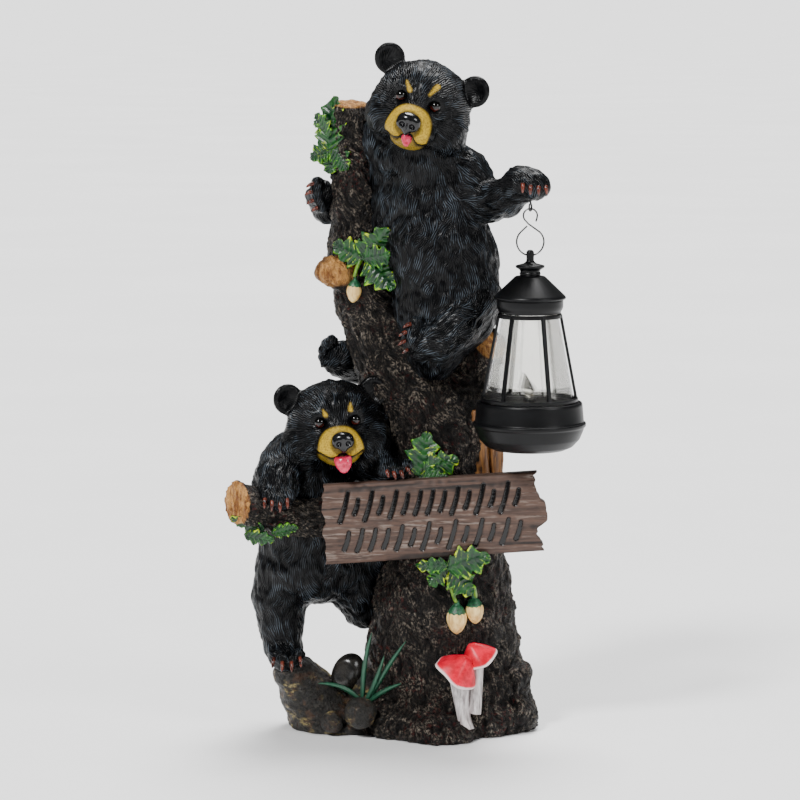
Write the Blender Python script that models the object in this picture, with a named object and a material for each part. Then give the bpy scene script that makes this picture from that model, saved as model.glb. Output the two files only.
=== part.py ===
"""Bear garden statue: two bear cubs on an oak stump, with a board of plain strokes and a hanging lantern.

The stump, both cubs, the board and all the leaves, acorns and toadstools are one hollow resin casting,
modelled here as one solid. The lantern hangs from it on a wire hook and a screw eye.
The frame: origin on the ground under the middle of the statue, +Z up, -Y towards the viewer, +X to the
viewer's right. The casting is described in millimetres of a 443 mm high figure and scaled by its height.
"""

import math

import bmesh
import bpy
from mathutils import Euler, Matrix, Vector

# Driving dimensions, in metres
STATUE_HEIGHT = 0.443
CASTING_FACES = 3100
FIT_GAP = 0.0003

EYE_WIRE_RADIUS = 0.0006
EYE_RING_RADIUS = 0.0024
EYE_NECK = 0.0022
EYE_SHANK = 0.005
EYE_TURN = math.radians(70)

HOOK_WIRE_RADIUS = 0.0006
HOOK_DROP = 0.0295
HOOK_LOOP_RADIUS = 0.0086
HOOK_CROOK_RADIUS = 0.0044

LANTERN_CLEARANCE = 0.0153
LANTERN_WALL = 0.0018
LANTERN_EDGE = 0.0006
LANTERN_SIDES = 22
FINIAL_RADIUS = 0.0025
FINIAL_HEIGHT = 0.0078
FLANGE_RADIUS = 0.0091
NECK_HEIGHT = 0.0088
NECK_RADIUS = 0.0057
ROOF_TOP_RADIUS = 0.0096
ROOF_RADIUS = 0.0229
ROOF_HEIGHT = 0.0133
BAND_RADIUS = 0.0211
BAND_HEIGHT = 0.0088
COLLAR_RADIUS = 0.0196
COLLAR_HEIGHT = 0.0014
RIB_COUNT = 6
RIB_TURN = math.radians(23)
RIB_WIDTH = 0.0028
RIB_DEPTH = 0.0018
RIB_SINK = 0.0004
CAGE_RING_HEIGHT = 0.0026
CAGE_SET_BACK = 0.0028
WINDOW_WALL = 0.001
WINDOW_TOP_RADIUS = 0.0178
BASE_TOP_RADIUS = 0.0336
BASE_HEIGHT = 0.0305
BASE_FOOT_RADIUS = 0.022
BASE_ROUNDING = 0.0065
BEAD_DEPTH = 0.0023
BEAD_HALF_HEIGHT = 0.0008
DECK_THICKNESS = 0.002
SOCKET_RADIUS = 0.0032
SOCKET_HEIGHT = 0.0025
BULB_RADIUS = 0.0043
BULB_HEIGHT = 0.0155
BULB_LEAN = 0.2

# One millimetre of the casting, as a share of its height
MM = STATUE_HEIGHT / 443

# The grain of the fused clay, and how near two corners are before they are welded into one
CLAY_VOXEL = 1.8 * MM
WELD_DISTANCE = 0.02 * MM

# Places that more than one piece is built from, in millimetres of the casting
PAW_UNDERSIDE = (82, -57, 347.5)
BOARD_CENTRE = (21, -49, 144.5)
BOARD_SIZE = (141, 13, 51)
BOARD_TILT = 3.7


def clear_scene():
    for old in list(bpy.data.objects):
        bpy.data.objects.remove(old, do_unlink=True)


def material(name, colour, roughness, metallic=0.0, alpha=1.0):
    made = bpy.data.materials.new(name)
    made.use_nodes = True
    shader = made.node_tree.nodes["Principled BSDF"]
    shader.inputs["Base Color"].default_value = (*colour, 1.0)
    shader.inputs["Roughness"].default_value = roughness
    shader.inputs["Metallic"].default_value = metallic
    shader.inputs["Alpha"].default_value = alpha
    return made


def object_from(bm, name, finish=None, collection=None):
    mesh = bpy.data.meshes.new(name)
    bmesh.ops.recalc_face_normals(bm, faces=bm.faces)
    bm.to_mesh(mesh)
    bm.free()
    made = bpy.data.objects.new(name, mesh)
    (collection or bpy.context.scene.collection).objects.link(made)
    if finish:
        mesh.materials.append(finish)
    return made


def helper(made):
    """Marks a cutter or a carved detail that a Boolean takes up, so it isn't a piece of its own."""
    made.hide_render = True
    made.display_type = "WIRE"
    return made


def evaluated_mesh(source, name):
    graph = bpy.context.evaluated_depsgraph_get()
    return bpy.data.meshes.new_from_object(source.evaluated_get(graph), depsgraph=graph)


def unit_ball(fineness):
    bm = bmesh.new()
    bmesh.ops.create_icosphere(bm, subdivisions=fineness, radius=1)
    ball_points = [v.co.copy() for v in bm.verts]
    ball_faces = [[v.index for v in face.verts] for face in bm.faces]
    bm.free()
    return ball_points, ball_faces


class Clay:
    """Round lumps pressed together. Lengths are millimetres of the casting, angles are degrees."""

    def __init__(self):
        self.points = []
        self.faces = []
        self.frame = Matrix.Identity(4)
        self.balls = {fineness: unit_ball(fineness) for fineness in (2, 3)}

    def lump(self, centre, radii, turn=(0, 0, 0), fineness=3):
        """An ellipsoid; radii is one number or three, and turn is its rotation about X, Y and Z."""
        if isinstance(radii, (int, float)):
            radii = (radii,) * 3
        place = (
            self.frame
            @ Matrix.Translation(Vector(centre))
            @ Euler([math.radians(a) for a in turn]).to_matrix().to_4x4()
            @ Matrix.Diagonal((*radii, 1))
        )
        ball_points, ball_faces = self.balls[fineness]
        start = len(self.points)
        self.points += [place @ point for point in ball_points]
        self.faces += [[start + i for i in face] for face in ball_faces]

    def limb(self, *stations, flat=1.0):
        """A tapering limb through stations (x, y, z, radius). flat is its depth along Y over its width."""
        for pair in zip(stations, stations[1:]):
            bm = bmesh.new()
            for x, y, z, r in pair:
                for ball in self.balls[3][0]:
                    bm.verts.new((x + ball.x * r, y + ball.y * r * flat, z + ball.z * r))
            hull = bmesh.ops.convex_hull(bm, input=bm.verts)
            inside = {v for key in ("geom_interior", "geom_unused") for v in hull[key] if v.is_valid}
            inside = {v for v in inside if isinstance(v, bmesh.types.BMVert)}
            bmesh.ops.delete(bm, geom=list(inside), context="VERTS")
            bm.verts.index_update()
            start = len(self.points)
            self.points += [self.frame @ v.co for v in bm.verts]
            self.faces += [[start + v.index for v in face.verts] for face in bm.faces]
            bm.free()

    def paw(self, centre, toes, size, spread, toe_count=4):
        """A paw's palm and its row of toes. toes is the way they point, spread the way they fan out."""
        centre, toes, spread = Vector(centre), Vector(toes), Vector(spread)
        self.lump(centre, size)
        for i in range(toe_count):
            along = (i / (toe_count - 1) - 0.5) * 2
            forward = toes * size * (0.85 - 0.25 * along * along)
            self.lump(centre + spread * along * size * 0.72 + forward, size * 0.42, fineness=2)


def head_frame(centre, tilt, yaw, pitch):
    """The cub's head looks along its own -Y. Tilt is clockwise as the viewer sees it."""
    turn = (
        Matrix.Rotation(math.radians(tilt), 4, "Y")
        @ Matrix.Rotation(math.radians(yaw), 4, "Z")
        @ Matrix.Rotation(math.radians(pitch), 4, "X")
    )
    return Matrix.Translation(Vector(centre)) @ turn


def press_head(clay, frame):
    """A cub's head around its own centre: skull, cheeks, brow, muzzle, jaw, nose and cupped ears."""
    clay.frame = frame
    clay.lump((0, 1, 0), (31, 27, 28.5))
    clay.lump((0, -10, 8), (22, 17, 17))
    clay.lump((0, -23, -10.5), (15, 16, 11.5), (-8, 0, 0))
    clay.lump((0, -22, -18), (11.5, 14, 8.5))
    clay.lump((0, -37.5, -6), (7.2, 5.5, 6))
    clay.lump((0, -18, 2), (8, 14, 9))
    for side in (-1, 1):
        clay.lump((side * 20, -4, -11), (13, 17, 14))
        clay.lump((side * 12, -24, -3), (5, 5, 5))
        clay.lump((side * 28.5, 6, 19), (9.2, 3, 10), (0, side * 22, 0))
        for k in range(14):
            a = 2 * math.pi * k / 14
            rim = (side * 28.5 + 7.4 * math.cos(a), 4 - 1.5 * abs(math.sin(a)), 19 + 8.3 * math.sin(a))
            clay.lump(rim, 2.3, fineness=2)
    clay.frame = Matrix.Identity(4)


UPPER_HEAD = head_frame((14, -28, 406), 18, -8, 7)
LOWER_HEAD = head_frame((-42, -24, 201), -4, 6, 1)


def press_trunk(clay):
    """The stump: flared foot, the tall sawn branch on the left and the split fork on the right."""
    clay.limb((37, 2, -14, 53), (33, 2, 16, 51), (28, 1, 49, 48), (27, 0, 82, 45), flat=0.86)
    clay.limb((27, 0, 82, 45), (28, 1, 109, 39), (28, 2, 140, 35), (28, 2, 188, 34), flat=0.95)
    clay.limb((28, 2, 188, 34), (24, 3, 204, 34), (0, 5, 226, 26), (-10, 5, 246, 21), flat=0.95)
    clay.limb((-10, 5, 246, 21), (-21, 5, 279, 20.5), (-27, 5, 311, 18.5), (-30, 5, 344, 14))
    clay.limb((-30, 5, 344, 14), (-31, 5, 376, 12), (-32, 5, 401, 10.5))
    clay.limb((36, 5, 197, 25), (46, 3, 223, 15.5), (55, -1, 246, 11.5))
    # The split wood on the fork's outer side, and the sawn knot on the left branch
    clay.limb((55, -8, 203, 9), (54, -12, 180, 10), (55, -12, 160, 10), (56, -8, 135, 9))
    clay.limb((-34, -6, 296, 9.5), (-42, -12, 298, 8.5))
    clay.lump((30, -16, 146), (34, 30, 24))
    # Stalks that the leaves and nuts spring from
    clay.limb((-41, 1, 364, 4), (-42.5, 0, 377, 4.5), (-40, 1, 398, 4))
    clay.limb((-23, -14, 309, 4.5), (-29, -12, 292, 4))
    clay.limb((-17, -16, 318, 5), (-16, -19, 300, 5))
    clay.limb((12, -38, 172, 6), (26, -38, 170, 6))
    clay.limb((30, -42, 112, 7), (33, -40, 88, 5), (36, -38, 80, 5))
    clay.limb((40, -42, 112, 6), (47, -38, 90, 5))
    clay.limb((-90, -57, 138, 8), (-72, -52, 136, 7))
    clay.limb((39, -46, 38, 6), (41, -46, 12, 6))


def press_roots(clay):
    """Roots and burrs round the foot of the stump, and the ground that the cub stands on."""
    clay.lump((75, -12, 34), (11, 15, 11))
    clay.lump((76, -12, 8), (14, 22, 13))
    clay.lump((26, -42, 3), (24, 25, 15))
    clay.lump((4, -32, 5), (24, 20, 15))
    clay.lump((56, -26, 6), (18, 18, 14))
    clay.lump((60, 34, 6), (22, 20, 16))
    clay.lump((8, 36, 6), (24, 18, 16))
    clay.lump((-14, -12, 8), (22, 24, 20))
    clay.lump((65, -2, 98), (7, 8, 9))
    clay.lump((69, -6, 80), (6, 8, 7))
    clay.lump((-34, -4, 2), (38, 32, 12))
    clay.lump((-52, -4, 10), (21, 26, 17))
    clay.lump((-60, -6, 22), (19, 24, 17))
    clay.lump((-68, -8, 35), (15, 19, 12))
    clay.lump((-34, -12, 36.5), (10, 9, 13.5), (0, 25, 0))
    clay.lump((-22, -8, 24), (12, 14, 14))
    clay.lump((-22, -26, 17), (9, 9, 9))


def press_upper_cub(clay):
    """The climbing cub: sits in the fork, hugs the branch behind and holds out the left paw."""
    clay.lump((22, -14, 345), (31, 25, 32))
    clay.lump((24, -15, 315), (35, 29, 36))
    clay.lump((30, -14, 280), (34.5, 30, 36))
    clay.lump((32, -12, 302), (31.5, 27, 28))
    clay.lump((22, -12, 251), (19, 25, 21))
    clay.lump((20, -6, 238), (13, 17, 13))
    clay.lump((12, -24, 372), (24, 16, 15))
    clay.lump((-5, -10, 372), (14, 16, 16))
    clay.lump((-13, -6, 384), (11, 12, 16))
    clay.lump((-2, -4, 336), (16, 20, 36))
    clay.lump((43, -20, 365), (14, 15, 13))
    clay.limb((30, -16, 368, 17), (40, -18, 357, 17), (57, -28, 345, 12.5), (67, -40, 348, 11.5))
    clay.limb((67, -40, 348, 11.5), (77, -50, 357, 10.8), (83, -56, 357, 9.5))
    clay.paw((84, -58, 355.5), (0.25, -0.65, -0.5), 8.6, (1.1, 0.15, -0.1))
    clay.limb((-4, -2, 362, 14), (-18, 16, 355, 11), (-33, 27, 347, 10), (-47, 17, 338, 9.5))
    clay.limb((-47, 17, 338, 9.5), (-51, 8, 345, 9.5))
    clay.paw((-52, 4, 348), (-0.55, -0.6, 0.2), 9, (0.1, 0.2, 0.95))
    clay.limb((48, -20, 282, 17), (38, -34, 266, 14.5), (25, -39, 255, 12.5), (14, -40, 254, 11.5))
    clay.paw((9, -39, 258), (-0.75, -0.35, 0.35), 8.5, (-0.3, 0.1, 0.9))
    clay.limb((10, 12, 250, 16), (-8, 26, 240, 14), (-26, 24, 235, 12), (-37, 14, 238, 11))
    clay.paw((-40, 11, 239), (-0.7, -0.35, 0.45), 11, (0.55, 0.05, 0.75), toe_count=5)
    clay.lump((36, 18, 248), (6, 7, 7))
    press_head(clay, UPPER_HEAD)


def press_lower_cub(clay):
    """The standing cub: leans on the stub branch, one paw over it and the other over the board."""
    clay.lump((-46, -6, 178), (32, 28, 20))
    clay.lump((-60, -6, 162), (31, 30, 30))
    clay.lump((-60, -5, 136), (34, 30, 36))
    clay.lump((-58, -4, 106), (35, 29, 25))
    clay.lump((-18, -4, 192), (16, 18, 24))
    clay.lump((-15, 1, 120), (20, 18, 24))
    clay.limb((-77, -4, 102, 18), (-78, -5, 86, 17), (-78, -5, 68, 14), (-76, -8, 54, 13))
    clay.paw((-75, -18, 47), (0.1, -0.9, -0.1), 10, (0.95, 0.15, 0.0))
    clay.limb((-37, -1, 104, 19), (-29, 1, 90, 16), (-24, 4, 76, 13))
    clay.limb((-72, -12, 178, 16), (-76, -28, 173, 15), (-79, -42, 166, 14), (-79, -50, 161, 12.5))
    clay.paw((-79, -54, 157), (0.05, -0.5, -0.65), 10.5, (0.95, 0.1, 0.05))
    clay.limb((-28, -14, 180, 14), (-18, -24, 175, 12), (-9, -38, 173, 10))
    clay.paw((-4, -43, 172), (0.7, -0.45, -0.35), 8.2, (0.55, -0.3, 0.6))
    clay.lump((-60, 24, 100), (6, 7, 7))
    press_head(clay, LOWER_HEAD)


def press_stub(clay):
    """The sawn stub branch that the standing cub leans on."""
    clay.limb((-14, -16, 138, 13), (-50, -36, 142, 12.5), (-77, -44, 145, 11.5), (-96, -54, 152, 13.5))


def keep_largest_shell(mesh):
    """Drops the closed pockets that lumps leave between them."""
    bm = bmesh.new()
    bm.from_mesh(mesh)
    unseen, shells = set(bm.verts), []
    while unseen:
        stack = [unseen.pop()]
        shell = []
        while stack:
            v = stack.pop()
            shell.append(v)
            for edge in v.link_edges:
                other = edge.other_vert(v)
                if other in unseen:
                    unseen.remove(other)
                    stack.append(other)
        shells.append(shell)
    for shell in sorted(shells, key=len)[:-1]:
        bmesh.ops.delete(bm, geom=shell, context="VERTS")
    bm.to_mesh(mesh)
    bm.free()


def fused_clay():
    """The whole figure as one skin, before its crisp details."""
    clay = Clay()
    press_trunk(clay)
    press_roots(clay)
    press_upper_cub(clay)
    press_lower_cub(clay)
    press_stub(clay)
    pressed = bpy.data.meshes.new("clay")
    pressed.from_pydata([point * MM for point in clay.points], [], clay.faces)
    raw = bpy.data.objects.new("clay", pressed)
    bpy.context.scene.collection.objects.link(raw)
    remesh = raw.modifiers.new("fuse", "REMESH")
    remesh.mode = "VOXEL"
    remesh.voxel_size = CLAY_VOXEL
    mesh = evaluated_mesh(raw, "fused")
    bpy.data.objects.remove(raw)
    keep_largest_shell(mesh)
    return mesh


def board_top(x):
    """The height of the board's upper edge at x, which rises with the board's tilt."""
    tilt = math.radians(BOARD_TILT)
    rise = (x - BOARD_CENTRE[0]) * math.tan(tilt)
    return BOARD_CENTRE[2] + rise + BOARD_SIZE[2] / 2 / math.cos(tilt)


def board(collection):
    """The slab of half-round wood: bowed face, ragged ends, lying a little uphill to the right."""
    length, thick, height = BOARD_SIZE
    ragged_left = (-0.5, 1.5, -1.5, 0.5, -1, 1)
    ragged_right = (-2, 0.5, -3, 1, -3.5, 1.5)
    rows = []
    for i, (left, right) in enumerate(zip(ragged_left, ragged_right)):
        t = i / (len(ragged_left) - 1)
        z = (t - 0.5) * height
        bow = 3.5 * (1 - (2 * t - 1) ** 2)
        front, back = -thick / 2 - bow + 1.5, thick / 2
        rows.append(
            [
                (-length / 2 + left, front, z),
                (length / 2 + right, front, z),
                (length / 2 + right, back, z),
                (-length / 2 + left, back, z),
            ]
        )
    bm = bmesh.new()
    rings = [[bm.verts.new(p) for p in row] for row in rows]
    for low, high in zip(rings, rings[1:]):
        for k in range(4):
            bm.faces.new((low[k], low[(k + 1) % 4], high[(k + 1) % 4], high[k]))
    bm.faces.new(rings[0][::-1])
    bm.faces.new(rings[-1])
    tilt = Matrix.Rotation(math.radians(-BOARD_TILT), 4, "Y")
    bm.transform(Matrix.Scale(MM, 4) @ Matrix.Translation(Vector(BOARD_CENTRE)) @ tilt)
    return helper(object_from(bm, "board", collection=collection))


def leaf_frame(stalk, tip, face):
    """Places a leaf drawn along +Z and facing -Y: from its stalk to its tip, looking along face."""
    stalk, tip = Vector(stalk), Vector(tip)
    z = (tip - stalk).normalized()
    y = -(Vector(face) - z * Vector(face).dot(z)).normalized()
    x = y.cross(z)
    turn = Matrix((x, y, z)).transposed().to_4x4()
    return Matrix.Translation(stalk) @ turn, (tip - stalk).length


def oak_leaf(name, stalk, tip, face, width, collection, thick=2.6):
    """A lobed oak leaf as a bent plate. width is its half width over its length."""
    frame, length = leaf_frame(stalk, tip, face)
    lobes, samples = 3, 9
    outline = []
    for side in (-1, 1):
        half = []
        for i in range(samples):
            t = (i + 0.5) / samples
            wave = 1 - 0.28 * math.cos(2 * math.pi * lobes * t)
            half.append((side * length * width * math.sin(math.pi * t**0.75) ** 0.7 * wave, t * length))
        outline.append(half)
    ring = [(0, 0)] + outline[0] + [(0, length)] + outline[1][::-1]
    bm = bmesh.new()
    layers = []
    for depth in (-thick / 2, thick / 2):
        layers.append([bm.verts.new((x, depth - 0.012 * abs(x) * length * 0.3, z)) for x, z in ring])
    count = len(ring)
    for k in range(count):
        n = (k + 1) % count
        bm.faces.new((layers[0][k], layers[0][n], layers[1][n], layers[1][k]))
    bm.faces.new(layers[0][::-1])
    bm.faces.new(layers[1])
    bm.transform(Matrix.Scale(MM, 4) @ frame)
    return helper(object_from(bm, name, collection=collection))


OAK_LEAVES = (
    ((-45, 0, 376), (-43, 1, 411), (-0.6, -1, 0), 0.26),
    ((-45, 1, 384), (-55, 4, 399), (-0.9, -0.7, 0), 0.36),
    ((-44, 0, 378), (-57, 4, 371), (-0.8, -0.8, 0), 0.4),
    ((-44, -1, 377), (-46, -2, 361), (-0.5, -1, 0), 0.4),
    ((-43, -2, 377), (-33, -9, 365), (-0.3, -1, 0), 0.36),
    ((-22, -17, 308), (-43, -13, 317), (-0.3, -1, 0), 0.34),
    ((-24, -18, 307), (-8, -27, 328), (0.3, -1, 0), 0.34),
    ((-23, -19, 308), (-5, -28, 312), (0.3, -1, 0), 0.34),
    ((-21, -18, 306), (-5, -27, 288), (0.3, -1, 0.1), 0.36),
    ((12, -43, 170), (19, -41, 198), (0, -1, 0), 0.32),
    ((14, -43, 171), (37, -42, 182), (0, -1, 0), 0.3),
    ((12, -44, 169), (31, -46, 170), (0, -1, 0.4), 0.26),
    ((30, -54, 112), (57, -58, 121), (0.1, -1, 0), 0.3),
    ((31, -52, 112), (47, -49, 96), (0.1, -1, 0), 0.34),
    ((31, -51, 113), (18, -49, 101), (0, -1, 0), 0.34),
    ((31, -53, 114), (10, -54, 115), (0, -1, 0), 0.2),
    ((-86, -59, 138), (-108, -60, 145), (-0.2, -1, -0.6), 0.2),
    ((-99, -62, 136), (-80, -60, 132), (0, -1, -0.6), 0.24),
    ((-82, -57, 136), (-65, -54, 138), (0, -1, -0.6), 0.26),
)


def acorn(name, centre, size, collection):
    """A nut whose middle is at centre, under the cup that it hangs from."""
    for part, lift, wide, tall in (("nut", 0, 0.64, 0.85), ("cup", 0.75, 0.6, 0.5)):
        bm = bmesh.new()
        place = Matrix.Translation(Vector(centre) + Vector((0, 0, lift * size)))
        shape = Matrix.Diagonal((wide, wide, tall, 1))
        bmesh.ops.create_uvsphere(bm, u_segments=8, v_segments=6, radius=size, matrix=place @ shape)
        bm.transform(Matrix.Scale(MM, 4))
        helper(object_from(bm, f"{name}_{part}", collection=collection))


def turned(profile, sides, name, finish=None, collection=None):
    """A solid of revolution about Z. The profile's (radius, z) points run once round its section."""
    bm = bmesh.new()
    rings = []
    for radius, z in profile:
        angles = [2 * math.pi * k / sides for k in range(sides)] if radius else [0]
        rings.append([bm.verts.new((radius * math.cos(a), radius * math.sin(a), z)) for a in angles])
    for upper, lower in zip(rings, rings[1:] + rings[:1]):
        for k in range(max(len(upper), len(lower))):
            n = (k + 1) % sides
            if len(upper) == len(lower) == 1:
                continue
            if len(upper) == 1:
                bm.faces.new((upper[0], lower[k], lower[n]))
            elif len(lower) == 1:
                bm.faces.new((upper[k], lower[0], upper[n]))
            else:
                bm.faces.new((upper[k], lower[k], lower[n], upper[n]))
    return object_from(bm, name, finish, collection)


def toadstool(name, cap, lean, radius, foot, stem_radius, collection):
    """A conical cap with a turned-in underside on a bent stem that lies against the stump."""
    profile = [(0, 0.62), (0.35, 0.5), (0.75, 0.12), (1, -0.3), (0.85, -0.42), (0, -0.3)]
    head = turned([(r * radius, z * radius) for r, z in profile], 12, name + "_cap", None, collection)
    turn = Euler([math.radians(a) for a in lean]).to_matrix().to_4x4()
    head.data.transform(Matrix.Scale(MM, 4) @ Matrix.Translation(Vector(cap)) @ turn)
    helper(head)
    bm = bmesh.new()
    start, end = Vector(cap), Vector(foot)
    bmesh.ops.create_cone(
        bm,
        cap_ends=True,
        segments=8,
        radius1=stem_radius,
        radius2=stem_radius * 0.8,
        depth=(end - start).length,
        matrix=Matrix.Translation((start + end) / 2)
        @ (start - end).to_track_quat("Z", "Y").to_matrix().to_4x4(),
    )
    bm.transform(Matrix.Scale(MM, 4))
    helper(object_from(bm, name + "_stem", collection=collection))


def grass_blade(name, root, bend, tip, width, collection):
    """A three-sided blade that tapers along an arc from its root to its tip."""
    root, bend, tip = Vector(root), Vector(bend), Vector(tip)
    steps = 5
    bm = bmesh.new()
    rings = []
    for i in range(steps):
        t = i / steps
        point = root * (1 - t) ** 2 + bend * 2 * t * (1 - t) + tip * t * t
        along = ((bend - root) * (1 - t) + (tip - bend) * t).normalized()
        side = along.cross(Vector((0, -1, 0))).normalized()
        w = width * (1 - t) ** 0.6 * (0.8 + 0.8 * t)
        ridge = side.cross(along) * w * 0.6
        rings.append([bm.verts.new(point + off) for off in (side * w, -side * w, ridge)])
    top = bm.verts.new(tip)
    for low, high in zip(rings, rings[1:]):
        for k in range(3):
            bm.faces.new((low[k], low[(k + 1) % 3], high[(k + 1) % 3], high[k]))
    for k in range(3):
        bm.faces.new((rings[-1][k], rings[-1][(k + 1) % 3], top))
    bm.faces.new(rings[0])
    bm.transform(Matrix.Scale(MM, 4))
    return helper(object_from(bm, name, collection=collection))


GRASS_BLADES = (
    ((-24, -30, 18), (-25, -34, 45), (-18, -38, 68)),
    ((-21, -31, 20), (-12, -36, 40), (4, -46, 64)),
    ((-23, -32, 20), (-16, -36, 32), (-10, -42, 54)),
    ((-21, -32, 20), (-12, -38, 30), (1, -46, 36)),
    ((-26, -31, 22), (-36, -34, 34), (-53, -36, 34)),
)


def ball(name, centre, radius, collection):
    bm = bmesh.new()
    bmesh.ops.create_icosphere(
        bm, subdivisions=2, radius=radius, matrix=Matrix.Translation(Vector(centre))
    )
    bm.transform(Matrix.Scale(MM, 4))
    return helper(object_from(bm, name, collection=collection))


def carved_details(collection):
    """The crisp pieces of the casting that the clay alone would blur."""
    board(collection)
    for i, (stalk, tip, face, width) in enumerate(OAK_LEAVES):
        oak_leaf(f"leaf_{i + 1}", stalk, tip, face, width, collection)
    acorn("acorn_1", (-29.6, -17, 286), 7, collection)
    acorn("acorn_2", (36.4, -43.4, 76.8), 9.2, collection)
    acorn("acorn_3", (48, -41, 82), 8.2, collection)
    toadstool("toadstool_1", (38, -54, 47.5), (16, 35, 0), 14.5, (42, -49, 8), 4.6, collection)
    toadstool("toadstool_2", (49, -46, 55), (14, -28, 0), 12.5, (48, -46, 18), 3.4, collection)
    for i, (root, bend, tip) in enumerate(GRASS_BLADES):
        grass_blade(f"grass_{i + 1}", root, bend, tip, 2.2, collection)
    ball("stone_1", (-25.5, -41, 15.5), 10.4, collection)
    ball("stone_2", (-44, -36, 8.6), 7.4, collection)


def ground_cutter():
    """Everything under the ground plane, so that the statue stands on one flat underside."""
    bm = bmesh.new()
    side, depth = STATUE_HEIGHT * 1.5, STATUE_HEIGHT / 2
    block = Matrix.Translation((0, 0, -depth / 2)) @ Matrix.Diagonal((side, side, depth, 1))
    bmesh.ops.create_cube(bm, size=1, matrix=block)
    return helper(object_from(bm, "ground_cutter"))


def eye_top():
    """The point under the paw where the screw eye enters."""
    return Vector(PAW_UNDERSIDE) * MM


def screw_hole():
    """The pilot hole that the eye's shank sits in."""
    bm = bmesh.new()
    depth = EYE_SHANK + FIT_GAP
    reach = EYE_NECK
    bmesh.ops.create_cone(
        bm,
        cap_ends=True,
        segments=8,
        radius1=EYE_WIRE_RADIUS + FIT_GAP,
        radius2=EYE_WIRE_RADIUS + FIT_GAP,
        depth=depth + reach,
        matrix=Matrix.Translation(eye_top() + Vector((0, 0, (depth - reach) / 2))),
    )
    return helper(object_from(bm, "screw_hole"))


def boolean(target, name, operation, other):
    modifier = target.modifiers.new(name, "BOOLEAN")
    modifier.operation = operation
    modifier.solver = "EXACT"
    modifier.object = other


def statue_casting(resin):
    mesh = fused_clay()
    mesh.materials.clear()
    mesh.materials.append(resin)
    casting = bpy.data.objects.new("statue_casting", mesh)
    bpy.context.scene.collection.objects.link(casting)
    smooth = casting.modifiers.new("soften", "SMOOTH")
    smooth.factor = 0.5
    smooth.iterations = 5
    thin = casting.modifiers.new("thin_out", "DECIMATE")
    thin.ratio = CASTING_FACES / (2 * len(mesh.polygons))
    details = bpy.data.collections.new("carved_details")
    bpy.context.scene.collection.children.link(details)
    carved_details(details)
    for detail in details.objects:
        boolean(casting, detail.name, "UNION", detail)
    boolean(casting, "ground", "DIFFERENCE", ground_cutter())
    boolean(casting, "pilot_hole", "DIFFERENCE", screw_hole())
    weld = casting.modifiers.new("weld", "WELD")
    weld.merge_threshold = WELD_DISTANCE


def wire(name, points, radius, finish, cyclic=False, resolution=1):
    """A round wire through points."""
    curve = bpy.data.curves.new(name, "CURVE")
    curve.dimensions = "3D"
    curve.bevel_depth = radius
    curve.bevel_resolution = resolution
    curve.use_fill_caps = not cyclic
    spline = curve.splines.new("POLY")
    spline.points.add(len(points) - 1)
    for point, at in zip(spline.points, points):
        point.co = (*at, 1)
    spline.use_cyclic_u = cyclic
    curve.materials.append(finish)
    made = bpy.data.objects.new(name, curve)
    bpy.context.scene.collection.objects.link(made)
    return made


def arc(centre, radius, start, end, steps):
    """Points of a circle in the X-Z plane, from start to end degrees, 0 at +X and 90 at +Z."""
    made = []
    for i in range(steps + 1):
        a = math.radians(start + (end - start) * i / steps)
        made.append(centre + Vector((radius * math.cos(a), 0, radius * math.sin(a))))
    return made


def ring_centre():
    return eye_top() - Vector((0, 0, EYE_NECK + EYE_RING_RADIUS))


def screw_eye(steel):
    """A wire eye screwed up into the paw: shank, neck and an almost closed ring."""
    centre = ring_centre()
    ring = arc(Vector((0, 0, 0)), EYE_RING_RADIUS, 62, -242, 14)
    shank_top = Vector((0, 0, EYE_RING_RADIUS + EYE_NECK + EYE_SHANK))
    bend = Vector((0, 0, EYE_RING_RADIUS + EYE_NECK * 0.5))
    turn = Matrix.Rotation(EYE_TURN, 4, "Z")
    points = [centre + turn @ p for p in [shank_top, bend, *ring]]
    return wire("screw_eye", points, EYE_WIRE_RADIUS, steel)


def hook_top():
    """The middle of the hook's wire where it rests in the eye."""
    rest = EYE_RING_RADIUS - EYE_WIRE_RADIUS - HOOK_WIRE_RADIUS - FIT_GAP
    return ring_centre() - Vector((0, 0, rest))


def hook_bottom():
    return hook_top() - Vector((0, 0, HOOK_DROP))


def hanging_hook(steel):
    """One bent wire: an open crook above, a closed loop below through the finial."""
    crook = hook_top() - Vector((0, 0, HOOK_CROOK_RADIUS))
    loop = hook_bottom() + Vector((0, 0, HOOK_LOOP_RADIUS))
    tail = crook + Vector((HOOK_CROOK_RADIUS * 0.8, 0, -HOOK_CROOK_RADIUS * 0.85))
    cross = crook + Vector((-HOOK_CROOK_RADIUS * 0.25, 0, -HOOK_CROOK_RADIUS * 1.2))
    closed_loop = arc(loop, HOOK_LOOP_RADIUS, 45, -225, 22)
    slope = (closed_loop[0] - cross).normalized()
    below = Vector((slope.z, 0, -slope.x))
    end = cross + below * (2 * HOOK_WIRE_RADIUS + FIT_GAP)
    points = [tail] + arc(crook, HOOK_CROOK_RADIUS, -15, 215, 14) + [cross] + closed_loop + [end]
    return wire("hanging_hook", points, HOOK_WIRE_RADIUS, steel)


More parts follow.
